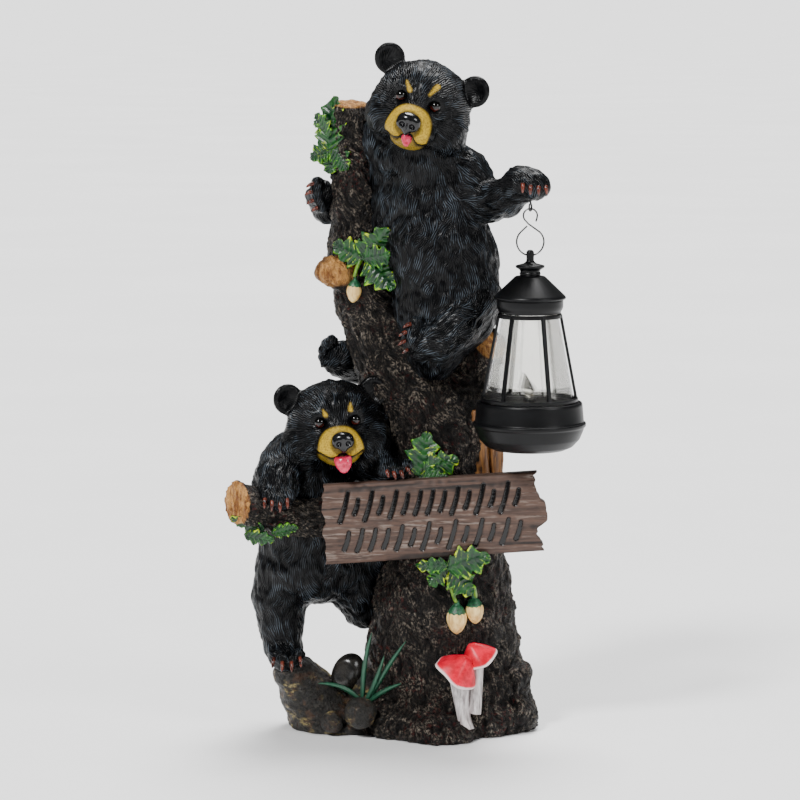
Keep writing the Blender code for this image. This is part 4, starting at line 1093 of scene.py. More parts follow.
def board_mesh(material):
    """The slab as a closed shell: bowed, grained face with strokes pressed in, ragged ends, rolled edges."""
    length, thick, height = BOARD["size"]
    columns, rows = 230, 84
    u = np.linspace(0, 1, columns)
    v = np.linspace(0, 1, rows)
    uu, vv = np.meshgrid(u, v, indexing="ij")
    ragged = lambda t, seed: 2.4 * grains(np.stack([t * 51, 0 * t, 0 * t], -1), 7.0, seed) + 1.2 * grains(
        np.stack([t * 51, 0 * t, 0 * t], -1), 2.2, seed + 1
    )
    left = -length / 2 + 0.8 + 0.6 * ragged(vv, 60)
    right = length / 2 - 1.6 + ragged(vv, 62) - 2.2 * np.sin(vv * 9.0)
    x = left + (right - left) * uu
    z = (vv - 0.5) * height
    roll = np.sqrt(np.clip(1 - (2 * vv - 1) ** 8, 0, 1))
    bow = 3.5 * (1 - (2 * vv - 1) ** 2)
    flat = np.stack([x, 0 * x, z], -1)
    grain = grains(flat * np.array([0.07, 1, 1]), 1.5, 64)
    grain = grain + 0.7 * grains(flat * np.array([0.04, 1, 1]), 3.4, 65)
    plank = grains(flat * np.array([0.05, 1, 0.6]), 5.5, 66)
    chips = grains(flat, 3.0, 67)
    ink = smooth_step(stroke_distance(x, z), 2.2, 1.4)
    relief = 0.7 * grain + 0.5 * plank + 0.25 * chips
    front = -thick / 2 - bow * roll + 1.5 - 0.55 * relief * (1 - ink) + 1.5 * ink
    back = thick / 2 - (1 - roll) * 2.0
    inset = 1.2 * (1 - roll)
    front_points = np.stack([x, front + inset, z], -1).reshape(-1, 3)
    back_points = np.stack([x, np.full_like(x, 0) + back, z], -1).reshape(-1, 3)
    index = np.arange(columns * rows).reshape(columns, rows)
    a, b, c, d = index[:-1, :-1], index[1:, :-1], index[1:, 1:], index[:-1, 1:]
    front_faces = np.stack([a, b, c, d], -1).reshape(-1, 4)
    shift = columns * rows
    back_faces = front_faces[:, ::-1] + shift
    edge = np.concatenate([index[:, 0], index[-1, 1:], index[-2::-1, -1], index[0, -2::-1]])
    rim = np.stack([edge[:-1], edge[:-1] + shift, edge[1:] + shift, edge[1:]], 1)
    points = np.concatenate([front_points, back_points])
    matrix = np.array(board_matrix())
    points = points @ matrix[:3, :3].T + matrix[:3, 3]
    ridge = np.clip(0.5 + 0.4 * relief.reshape(-1), 0, 1)
    attributes = {
        "ridge": np.concatenate([ridge, ridge]),
        "ink": np.concatenate([ink.reshape(-1), np.zeros(shift)]),
    }
    faces = np.concatenate([front_faces, back_faces, rim])
    belongs(finish_mesh("board", points, faces, material, attributes))


# Leaves, nuts, toadstools, grass and stones


def leaf_place(stalk, tip, face):
    """Axes of a leaf that runs from stalk to tip and looks along face, as columns."""
    stalk, tip, face = (np.array(v, float) for v in (stalk, tip, face))
    z = tip - stalk
    length = np.linalg.norm(z)
    z /= length
    y = -(face - z * (face @ z))
    y /= np.linalg.norm(y)
    return stalk, np.stack([np.cross(y, z), y, z], 1), length


def leaf_shell(stalk, tip, face, width, seed, thick=1.5):
    """Points, faces and edge shares of one lobed leaf: a cupped plate with midrib, veins and curled lobes."""
    origin, axes, length = leaf_place(stalk, tip, face)
    along, across = 40, 15
    u = np.linspace(0, 1, along)[:, None] * np.ones(across)[None]
    v = np.linspace(-1, 1, across)[None] * np.ones(along)[:, None]
    lobes = 3.4
    body = np.sin(math.pi * np.clip(u, 0.005, 0.995) ** 0.72) ** 0.62
    notch = 1 - np.abs(2 * ((lobes * u + 0.19 * seed) % 1) - 1)
    half = length * width * 1.25 * body * (0.56 + 0.56 * notch**0.9) + 0.35
    wobble = 1.3 * np.sin(seed * 1.7 + u * 3.1)
    x = v * half + wobble * u
    z = length * (u + 0.09 * np.abs(v) * notch * (1 - u))
    rib = np.exp(-((v * half / 0.9) ** 2))
    slant = u * lobes * 2 - np.abs(v) * 0.85
    veins = np.exp(-((((slant + 0.25) % 1) - 0.5) / 0.13) ** 2) * smooth_step(np.abs(v), 1.0, 0.5)
    cup = 0.1 * length * width * (np.abs(v) ** 1.6) - 1.8 * u * u * (1 if seed % 3 else -1)
    puff = 0.9 * np.sin(2 * math.pi * slant) * np.abs(v)
    y = -cup - 0.75 * rib - 0.5 * veins - 0.7 * puff
    edge = np.clip(smooth_step(np.abs(v), 0.5, 1.0) * 0.9 + 0.75 * veins + 0.2 * puff, 0, 1)
    front = np.stack([x, y - thick / 2, z], -1).reshape(-1, 3)
    back = np.stack([x * 0.96, y + thick / 2, z], -1).reshape(-1, 3)
    index = np.arange(along * across).reshape(along, across)
    a, b, c, d = index[:-1, :-1], index[:-1, 1:], index[1:, 1:], index[1:, :-1]
    front_faces = np.stack([a, b, c, d], -1).reshape(-1, 4)
    shift = along * across
    rim_index = np.concatenate([index[0, :], index[1:, -1], index[-1, -2::-1], index[-2::-1, 0]])
    rim = np.stack([rim_index[:-1], rim_index[:-1] + shift, rim_index[1:] + shift, rim_index[1:]], 1)
    faces = np.concatenate([front_faces, front_faces[:, ::-1] + shift, rim])
    points = np.concatenate([front, back]) @ axes.T + origin
    return points, faces, np.concatenate([edge.reshape(-1), edge.reshape(-1) * 0.5])


OAK_LEAVES = {
    "leaves_top": (
        ((-45, 0, 376), (-43, 1, 411), (-0.6, -1, 0), 0.26),
        ((-45, 1, 384), (-55, 4, 399), (-0.9, -0.7, 0), 0.36),
        ((-44, 0, 378), (-57, 4, 371), (-0.8, -0.8, 0), 0.4),
        ((-44, -1, 377), (-46, -2, 361), (-0.5, -1, 0), 0.4),
        ((-43, -2, 377), (-33, -9, 365), (-0.3, -1, 0), 0.36),
    ),
    "leaves_middle": (
        ((-22, -19, 308), (-43, -16, 317), (-0.3, -1, 0), 0.34),
        ((-24, -20, 307), (-8, -28, 328), (0.3, -1, 0), 0.34),
        ((-23, -21, 308), (-5, -29, 312), (0.3, -1, 0), 0.34),
        ((-21, -20, 306), (-5, -28, 288), (0.3, -1, 0.1), 0.36),
    ),
    "leaves_board_top": (
        ((12, -43, 170), (19, -41, 198), (0, -1, 0), 0.32),
        ((14, -43, 171), (37, -42, 182), (0, -1, 0), 0.3),
        ((12, -44, 169), (31, -46, 170), (0, -1, 0.4), 0.26),
    ),
    "leaves_board_foot": (
        ((30, -54, 112), (57, -58, 121), (0.1, -1, 0), 0.3),
        ((31, -52, 112), (47, -49, 96), (0.1, -1, 0), 0.34),
        ((31, -51, 113), (18, -49, 101), (0, -1, 0), 0.34),
        ((31, -53, 114), (10, -54, 115), (0, -1, 0), 0.2),
    ),
    "leaves_stub": (
        ((-86, -59, 138), (-108, -60, 145), (-0.2, -1, -0.6), 0.2),
        ((-99, -62, 136), (-80, -60, 132), (0, -1, -0.6), 0.24),
        ((-82, -57, 136), (-65, -54, 138), (0, -1, -0.6), 0.26),
    ),
}


def joined(shells):
    """Joins (points, faces, shares) shells into one."""
    points, faces, shares, start = [], [], [], 0
    for shell_points, shell_faces, share in shells:
        points.append(shell_points)
        faces.append(shell_faces + start)
        shares.append(share)
        start += len(shell_points)
    return np.concatenate(points), np.concatenate(faces), np.concatenate(shares)


def turned_shell(profile, sides):
    """Points and quads of a closed solid of revolution about Z, from (radius, z) round its section."""
    angles = np.arange(sides) * 2 * math.pi / sides
    rings = [np.stack([r * np.cos(angles), r * np.sin(angles), 0 * angles + z], 1) for r, z in profile]
    points = np.concatenate(rings)
    index = np.arange(len(profile) * sides).reshape(-1, sides)
    upper, lower = index, np.roll(index, -1, axis=0)
    faces = np.stack([upper, lower, np.roll(lower, -1, 1), np.roll(upper, -1, 1)], -1).reshape(-1, 4)
    return points, faces


def smooth_curve(stations, steps):
    """Samples a smooth curve that passes through its stations."""
    padded = np.concatenate([stations[:1], stations, stations[-1:]])
    made = [stations[0]]
    for p0, p1, p2, p3 in zip(padded, padded[1:], padded[2:], padded[3:]):
        for t in np.arange(1, steps + 1) / steps:
            bend = (2 * p0 - 5 * p1 + 4 * p2 - p3) * t * t + (3 * p1 - p0 - 3 * p2 + p3) * t**3
            made.append(0.5 * (2 * p1 + (p2 - p0) * t + bend))
    return np.array(made)


def smooth_profile(points, steps=4):
    """Rounds the corners of an outline of (radius, z) by a smooth curve through them."""
    made = smooth_curve(np.array(points, float), steps)
    made[:, 0] = np.maximum(made[:, 0], AXIS_GAP)
    return made


def placed(points, centre, turn=(0, 0, 0)):
    return points @ rotation(turn).T + np.array(centre, float)


# Outlines as (radius, height) shares of the piece's size
NUT_OUTLINE = (
    (0.02, -0.98), (0.12, -0.94), (0.42, -0.66), (0.64, -0.1), (0.66, 0.3), (0.5, 0.62), (0.02, 0.7),
)
CUP_OUTLINE = (
    (0.02, 1.5), (0.14, 1.42), (0.2, 1.12), (0.36, 0.98), (0.58, 0.62), (0.6, 0.44), (0.46, 0.4), (0.02, 0.5),
)
CAP_OUTLINE = (
    (0.02, 0.66), (0.2, 0.62), (0.42, 0.42), (0.72, 0.1), (0.95, -0.22), (1.0, -0.33), (0.93, -0.38),
    (0.5, -0.25), (0.02, -0.2),
)
BALL_OUTLINE = (
    (0.02, 1), (0.38, 0.92), (0.71, 0.71), (0.92, 0.38), (1, 0), (0.92, -0.38), (0.71, -0.71),
    (0.38, -0.92), (0.02, -1),
)


def acorn_shells(centre, size, seed):
    """A ribbed nut, and a scaly cup with its stalk above it."""
    points, faces = turned_shell(smooth_profile(NUT_OUTLINE) * size, 28)
    angle = np.arctan2(points[:, 1], points[:, 0])
    points[:, :2] *= (1 + 0.05 * np.abs(np.cos(4.5 * angle + seed)) ** 0.6)[:, None]
    nut = (placed(points, centre, (4 * seed, 6 - 5 * seed, 0)), faces[:, ::-1], np.zeros(len(points)))
    points, faces = turned_shell(smooth_profile(CUP_OUTLINE) * size, 28)
    angle = np.arctan2(points[:, 1], points[:, 0])
    scale = 1 + 0.06 * np.cos(10 * angle) * np.cos(points[:, 2] / size * 14)
    points[:, :2] *= scale[:, None]
    cup = (placed(points, centre, (4 * seed, 6 - 5 * seed, 0)), faces, np.zeros(len(points)))
    return nut, cup


def tube_shell(stations, sides=14, ribs=0.0):
    """A round stem through (x, y, z, radius) stations on a smooth curve."""
    path = smooth_curve(np.array(stations, float), 8)
    points = []
    for i, (x, y, z, r) in enumerate(path):
        ahead = path[min(i + 1, len(path) - 1), :3] - path[max(i - 1, 0), :3]
        along = ahead / np.linalg.norm(ahead)
        side = np.cross(along, (0, 1, 0.1))
        side /= np.linalg.norm(side)
        other = np.cross(along, side)
        for k in range(sides):
            a = 2 * math.pi * k / sides
            wide = r * (1 + ribs * math.cos(5 * a))
            points.append(np.array((x, y, z)) + wide * (math.cos(a) * side + math.sin(a) * other))
    points = np.array(points)
    index = np.arange(len(path) * sides).reshape(-1, sides)
    a, b = index[:-1], index[1:]
    faces = np.stack([a, b, np.roll(b, -1, 1), np.roll(a, -1, 1)], -1).reshape(-1, 4)
    ends = np.array([path[0, :3], path[-1, :3]])
    first, last = len(points), len(points) + 1
    points = np.concatenate([points, ends])
    caps = []
    for k in range(0, sides, 2):
        caps.append([first, index[0, k], index[0, (k + 1) % sides], index[0, (k + 2) % sides]])
        caps.append([last, index[-1, (k + 2) % sides], index[-1, (k + 1) % sides], index[-1, k]])
    return points, np.concatenate([faces, np.array(caps)]), np.zeros(len(points))


def toadstool_cap(centre, lean, radius):
    """A bell-shaped cap with soft folds and a thin pale lip."""
    points, faces = turned_shell(smooth_profile(CAP_OUTLINE) * radius, 48)
    angle = np.arctan2(points[:, 1], points[:, 0])
    out = np.hypot(points[:, 0], points[:, 1]) / radius
    fold = 1 + 0.05 * out * np.cos(5 * angle + 0.7)
    points[:, :2] *= fold[:, None]
    points[:, 2] += 0.05 * radius * out * np.cos(3 * angle)
    lip = smooth_step(out, 0.965, 1.0)
    lip = np.where(points[:, 2] < -0.3 * radius, 1.0, lip)
    return placed(points, centre, lean), faces, lip


# Corners of a blade's section: across and up, as shares of its half width, and how pale each is
BLADE_SECTION = ((-1, 0, 0.1), (-0.5, 0.18, 0.2), (0, 0.55, 1), (0.5, 0.18, 0.2), (1, 0, 0.1), (0, -0.35, 0))


def grass_shell(root, bend, tip, width):
    """A folded blade: flat V section, widest a third of the way up."""
    root, bend, tip = (np.array(v, float) for v in (root, bend, tip))
    steps = 22
    points, shares = [], []
    for i in range(steps + 1):
        t = i / steps
        point = root * (1 - t) ** 2 + bend * 2 * t * (1 - t) + tip * t * t
        along = (bend - root) * (1 - t) + (tip - bend) * t
        along /= np.linalg.norm(along)
        side = np.cross(along, (0, -1, 0))
        side /= np.linalg.norm(side)
        out = np.cross(side, along)
        wide = max(width * (1 - t) ** 0.65 * (0.75 + 1.1 * t), 0.12)
        for across, lift, share in BLADE_SECTION:
            points.append(point + side * wide * across + out * wide * lift)
            shares.append(share)
    index = np.arange((steps + 1) * 6).reshape(-1, 6)
    a, b = index[:-1], index[1:]
    faces = np.stack([a, b, np.roll(b, -1, 1), np.roll(a, -1, 1)], -1).reshape(-1, 4)
    first, last = index[0], index[-1]
    caps = [first[[3, 2, 1, 0]], first[[5, 4, 3, 0]], last[[0, 1, 2, 3]], last[[0, 3, 4, 5]]]
    return np.array(points), np.concatenate([faces, np.array(caps)]), np.array(shares)


# Middle and size of each acorn
ACORNS = (((-29.6, -18, 286), 7), ((36.4, -43.4, 76.8), 9.4), ((48, -41, 82), 8.4))
# Stems as (x, y, z, radius) stations
ACORN_STALKS = (
    ((31.9, -51, 102.5, 1.5), (33.8, -49, 95, 1.3), (35.8, -45.5, 89, 1.2)),
    ((47.4, -47, 98.6, 1.4), (48.2, -45, 95, 1.2), (48.6, -42.5, 91.5, 1.1)),
    ((-25, -18, 307, 1.5), (-27.4, -19.5, 302, 1.3), (-29.3, -18.6, 296, 1.2)),
)
TOADSTOOL_STEMS = (
    ((38, -52, 42, 7.0), (38.5, -52, 33, 5.6), (39.5, -51, 23, 4.6), (41, -52, 14, 4.2), (42.4, -53, 7, 4.8)),
    ((49, -47, 50, 4.4), (49, -47, 40, 3.9), (48.4, -48, 28, 4.0), (47, -49, 17, 4.6)),
)
# Middle, lean and radius of each cap
TOADSTOOL_CAPS = (((38, -54, 47.5), (16, 35, 0), 14.5), ((49, -46, 55), (14, -28, 0), 12.5))
BLADE_WIDTH = 2.0
# Root, bend and tip of each blade of grass
GRASS_BLADES = (
    ((-24, -30, 18), (-25, -34, 45), (-18, -38, 68)),
    ((-21, -31, 20), (-12, -36, 40), (4, -46, 64)),
    ((-23, -32, 20), (-16, -36, 32), (-10, -42, 54)),
    ((-21, -32, 20), (-12, -38, 30), (1, -46, 36)),
    ((-26, -31, 22), (-36, -34, 34), (-53, -36, 34)),
)


def claw_shell(base, tip, radius):
    """A curved claw that tapers to a blunt point."""
    base, tip = np.array(base, float), np.array(tip, float)
    lift = np.array([0, -0.35, 0.25]) * radius
    stations = [
        (*base, radius),
        (*(base * 0.6 + tip * 0.4 + lift), radius * 0.92),
        (*(base * 0.2 + tip * 0.8 + lift * 0.6), radius * 0.6),
        (*tip, radius * 0.2),
    ]
    return tube_shell(stations, 12)


# Faces


def eye_shells(head):
    """Glassy balls in the sockets, looking forward."""
    points, faces = turned_shell(smooth_profile(BALL_OUTLINE, 3), 32)
    eye_x, eye_y, eye_z = EYE_PLACE
    shells = []
    for side in (-1, 1):
        ball = placed(points * EYE_RADIUS, (0, 0, 0), (90, 0, 0))
        local = ball + np.array([side * eye_x, eye_y - 0.1, eye_z])
        out = np.hypot(ball[:, 0], ball[:, 2])
        iris = smooth_step(out, 1.2, 2.0) * smooth_step(out, 3.1, 2.6) * smooth_step(ball[:, 2], 0.2, -1.4)
        world = local @ head.turn.T + head.centre
        shells.append((world, faces, iris))
    return shells


def nose_forms(head, face):
    """A broad heart-shaped nose with two nostrils and a groove between them."""
    shift_x, shift_z, size = face["nose"]

    def part(centre, radii, turn=(0, 0, 0), melt=2.0, cut=False):
        x, y, z = centre
        radii = [r * size for r in radii]
        return lump((x * size + shift_x, y, z * size + shift_z), radii, turn, melt=melt, cut=cut, head=head)

    forms = [
        part((0, -38.6, -2.9), (7.2, 4.8, 4.2), (18, 0, 0)),
        part((0, -39.2, -7.2), (4.2, 3.8, 4.8), melt=3),
        part((0.3, -38.2, -10.8), (1.8, 2.6, 2.8)),
        part((0, -43.4, -8.4), (0.5, 1.7, 4.6), melt=0.8, cut=True),
    ]
    for side in (-1, 1):
        forms.append(part((side * 4.4, -38.6, -6.2), (3.4, 4.0, 3.8)))
        forms.append(part((side * 3.4, -42.9, -6.8), (2.0, 2.6, 1.7), (0, side * 28, 0), melt=0.8, cut=True))
    return forms


def smooth_body(name, forms, cell, material):
    """Melts smooth forms together with no relief."""
    points, quads = skin(*melted(forms, cell), cell)
    belongs(finish_mesh(name, evened(points, quads, 3), quads, material))


# Tongues in the head's axes: stations of middle and radius
TONGUES = {
    "upper": ((1.2, -30, -17, 2.4), (1.3, -35.2, -17.8, 2.6), (2.2, -36.8, -21.2, 1.7)),
    "lower": (
        (0.9, -31, -18, 4.7), (0.9, -35.6, -18.4, 4.8), (0.9, -37.8, -21.2, 3.8), (0.9, -38.4, -23.6, 2),
    ),
}


def tongue_forms(head, stations):
    """A tongue that lies over the lower lip, with a groove down its middle."""
    x, y, z = stations[-1][:3]
    groove = lump((x, y - 3.2, z + 1.5), (0.6, 2.6, 4.0), melt=1, cut=True, head=head)
    lip = lump((x - 0.5, y + 1, stations[0][2] + 9.4), (10, 9, 7.6), melt=0.6, cut=True, head=head)
    return limb(*stations, flat=0.55, flow=False, melt=2, head=head) + [groove, lip]


# Lantern


def lantern_axis():
    low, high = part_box("lantern_roof")
    return (low.x + high.x) / 2 / MM, (low.y + high.y) / 2 / MM


def lathe(name, profile, node, material, sides, smooth_angle=35):
    """A turned piece of the lantern, from (radius, z) in millimetres round its section."""
    x, y = lantern_axis()
    profile = np.array(profile, float)
    profile[:, 0] = np.maximum(profile[:, 0], AXIS_GAP)
    points, faces = turned_shell(profile, sides)
    points[:, 0] += x
    points[:, 1] += y
    made = finish_mesh(name, points, faces, material)
    made.data.set_sharp_from_angle(angle=math.radians(smooth_angle))
    return belongs(made, node)


def rounded(points, radius, steps=3):
    """Rounds each corner of an open (radius, z) outline with an arc of about the given radius."""
    points = np.array(points, float)
    made = [points[0]]
    for before, corner, after in zip(points, points[1:], points[2:]):
        back, ahead = before - corner, after - corner
        reach = min(radius, 0.45 * np.linalg.norm(back), 0.45 * np.linalg.norm(ahead))
        start = corner + back / np.linalg.norm(back) * reach
        end = corner + ahead / np.linalg.norm(ahead) * reach
        for k in range(steps + 1):
            t = k / steps
            made.append(start * (1 - t) ** 2 + corner * 2 * t * (1 - t) + end * t * t)
    made.append(points[-1])
    return np.array(made)


# Operators


class StatueOperator:
    """What every step shares: it works in object mode on the open scene."""

    bl_options = {"REGISTER", "UNDO"}

    def colours(self):
        return bpy.context.scene.statue_colours

    def sizes(self):
        return bpy.context.scene.statue_sizes


class STATUE_OT_cubs(StatueOperator, bpy.types.Operator):
    """Build both cubs with carved fur, painted faces and claws"""

    bl_idname = "statue.cubs"
    bl_label = "Cubs"

    def execute(self, context):
        fur = fur_paint(self.colours())
        # Thick black enamel over smooth resin: wet-looking noses with crisp lights
        gloss = two_tone("gloss_black_enamel", "#050506", "#111214", 3 * MM, 0.16, 0.1 * MM)
        # Clear-coated eye enamel: almost a mirror, with a red-brown iris low in the black
        glass = two_tone("gloss_eye_enamel", "#010101", "#040303", 2 * MM, 0.05, 0.02 * MM, edge="#3C1009")
        # Gloss paint on cast claws: red brown, darker in streaks
        horn = two_tone("gloss_claw_paint", "#1A0907", "#74382B", 2.4 * MM, 0.22, 0.2 * MM)
        # Gloss enamel tongues: wet pink, deeper in places
        pink = two_tone("gloss_tongue_enamel", "#A81434", "#E23E62", 3.5 * MM, 0.22, 0.15 * MM)
        cubs = (
            ("upper", upper_cub_forms, UPPER_HEAD, UPPER_FACE, UPPER_CLAWS),
            ("lower", lower_cub_forms, LOWER_HEAD, LOWER_FACE, LOWER_CLAWS),
        )
        for name, forms, head, face, claws in cubs:
            cub_body(f"{name}_cub", forms(), head, face, self.sizes(), fur)
            joined_piece(f"{name}_cub_eyes", eye_shells(head), glass, "edge")
            smooth_body(f"{name}_cub_nose", nose_forms(head, face), FINE_CELL, gloss)
            smooth_body(f"{name}_cub_tongue", tongue_forms(head, TONGUES[name]), FINE_CELL, pink)
            paws = [claw_shell(*claw, CLAW_RADIUS) for paw in claws.values() for claw in paw]
            joined_piece(f"{name}_cub_claws", paws, horn)
        return {"FINISHED"}


class STATUE_OT_stump(StatueOperator, bpy.types.Operator):
    """Build the barked stump with its sawn branches, split wood and the mound at its foot"""

    bl_idname = "statue.stump"
    bl_label = "Stump and mound"

    def execute(self, context):
        sizes = self.sizes()
        cell, depth = sizes.bark_cell / MM, sizes.bark_depth / MM
        bark = bark_paint(self.colours())
        forms = trunk_forms()
        grid, low = melted(forms, cell)
        # Cut in two on a wavy line, which keeps each piece to a size that exports well
        split = int((SLICE_HEIGHT + SLICE_OVERLAP - low[2]) / cell)
        foot = sliced(grid[:, :, :split], low, cell, False)
        rough_body("stump_foot", foot, low, forms, cell, depth, bark)
        start = int((SLICE_HEIGHT - SLICE_OVERLAP - low[2]) / cell)
        raised = low + np.array([0, 0, start * cell])
        branches = sliced(grid[:, :, start:], raised, cell, True)
        rough_body("stump_branches", branches, raised, forms, cell, depth, bark)
        wood = split_wood_forms()
        grid, low = melted(wood, WOOD_CELL)
        rough_body("split_wood", grid, low, wood, WOOD_CELL, 0.8, split_wood_paint(), 1.5, (0, 0, 1), 14.0)
        ground = mound_forms()
        paint = stone_paint(self.colours())
        rough_body("mound", *melted(ground, cell), ground, cell, depth * 0.6, paint, 2.4, (1, 0, 0.2), 9.0)
        return {"FINISHED"}


class STATUE_OT_board(StatueOperator, bpy.types.Operator):
    """Build the grained board with its rows of pressed strokes"""

    bl_idname = "statue.board"
    bl_label = "Board"

    def execute(self, context):
        board_mesh(board_paint(self.colours()))
        return {"FINISHED"}


class STATUE_OT_plants(StatueOperator, bpy.types.Operator):
    """Build the oak leaves, acorns, toadstools and grass"""

    bl_idname = "statue.plants"
    bl_label = "Leaves and toadstools"

    def execute(self, context):
        colours = self.colours()
        leaf = leaf_paint(colours)
        for name, leaves in OAK_LEAVES.items():
            shells = [leaf_shell(*each, seed) for seed, each in enumerate(leaves, start=len(name))]
            joined_piece(name, shells, leaf, "edge")
        nuts, cups = zip(*[acorn_shells(*acorn, seed) for seed, acorn in enumerate(ACORNS)])
        # Satin acrylic nuts: cream, with brown streaks down them; matter scaly cups
        cream = two_tone("satin_cream_acorn", "#C99A50", colours.acorn, 2.5 * MM, 0.42, 0.15 * MM, (1, 1, 5))
        joined_piece("acorn_nuts", nuts, cream)
        green = two_tone("satin_green_cup", "#0B2C1C", "#2A6A45", 1.4 * MM, 0.4, 0.4 * MM)
        joined_piece("acorn_cups", cups, green)
        # Gloss acrylic stalks: yellow green, darker in places
        stalk = two_tone("gloss_green_stalk", "#1D4A1C", "#7FA82A", 4 * MM, 0.35, 0.15 * MM)
        joined_piece("acorn_stalks", [tube_shell(each, 10) for each in ACORN_STALKS], stalk)
        # Satin acrylic caps: clear red, pinker in soft patches, with a pale lip
        red = two_tone(
            "satin_red_toadstool", colours.toadstool, "#F0103A", 5 * MM, 0.34, 0.2 * MM,
            edge="#F3E4E2", specular=0.25,
        )
        joined_piece("toadstool_caps", [toadstool_cap(*each) for each in TOADSTOOL_CAPS], red, "edge")
        # Satin acrylic stems: white, with grey streaks down them
        white = two_tone("satin_white_stem", "#8F8484", "#E6E0DE", 2.0 * MM, 0.45, 0.5 * MM, (1, 1, 6))
        joined_piece("toadstool_stems", [tube_shell(each, 16, 0.1) for each in TOADSTOOL_STEMS], white)
        blades = [grass_shell(*blade, BLADE_WIDTH) for blade in GRASS_BLADES]
        joined_piece("grass", blades, grass_paint(), "edge")
        return {"FINISHED"}


class STATUE_OT_stones(StatueOperator, bpy.types.Operator):
    """Build the round stones and the dark pebble at the foot"""

    bl_idname = "statue.stones"
    bl_label = "Stones"

    def execute(self, context):
        paint = stone_paint(self.colours())
        forms = [lump((-25.5, -41, 15.5), 10.4, melt=1), lump((-44, -36, 8.6), 7.4, melt=1)]
        rough_body("round_stones", *melted(forms, STONE_CELL), forms, STONE_CELL, 0.35, paint, 2.0, (1, 0, 1))
        pebble = [lump((-34, -12, 36), (10.4, 9, 13.8), (0, 25, 0), melt=2)]
        pebble.append(sawn_off((-37, -18.6, 38), (-0.35, -0.93, 0.15), 16))
        # Gloss enamel on a smooth pebble: black, brownish in patches
        black = two_tone("gloss_black_pebble", "#0A0A0A", "#26231F", 5 * MM, 0.25, 0.2 * MM)
        smooth_body("dark_pebble", pebble, STONE_CELL, black)
        return {"FINISHED"}


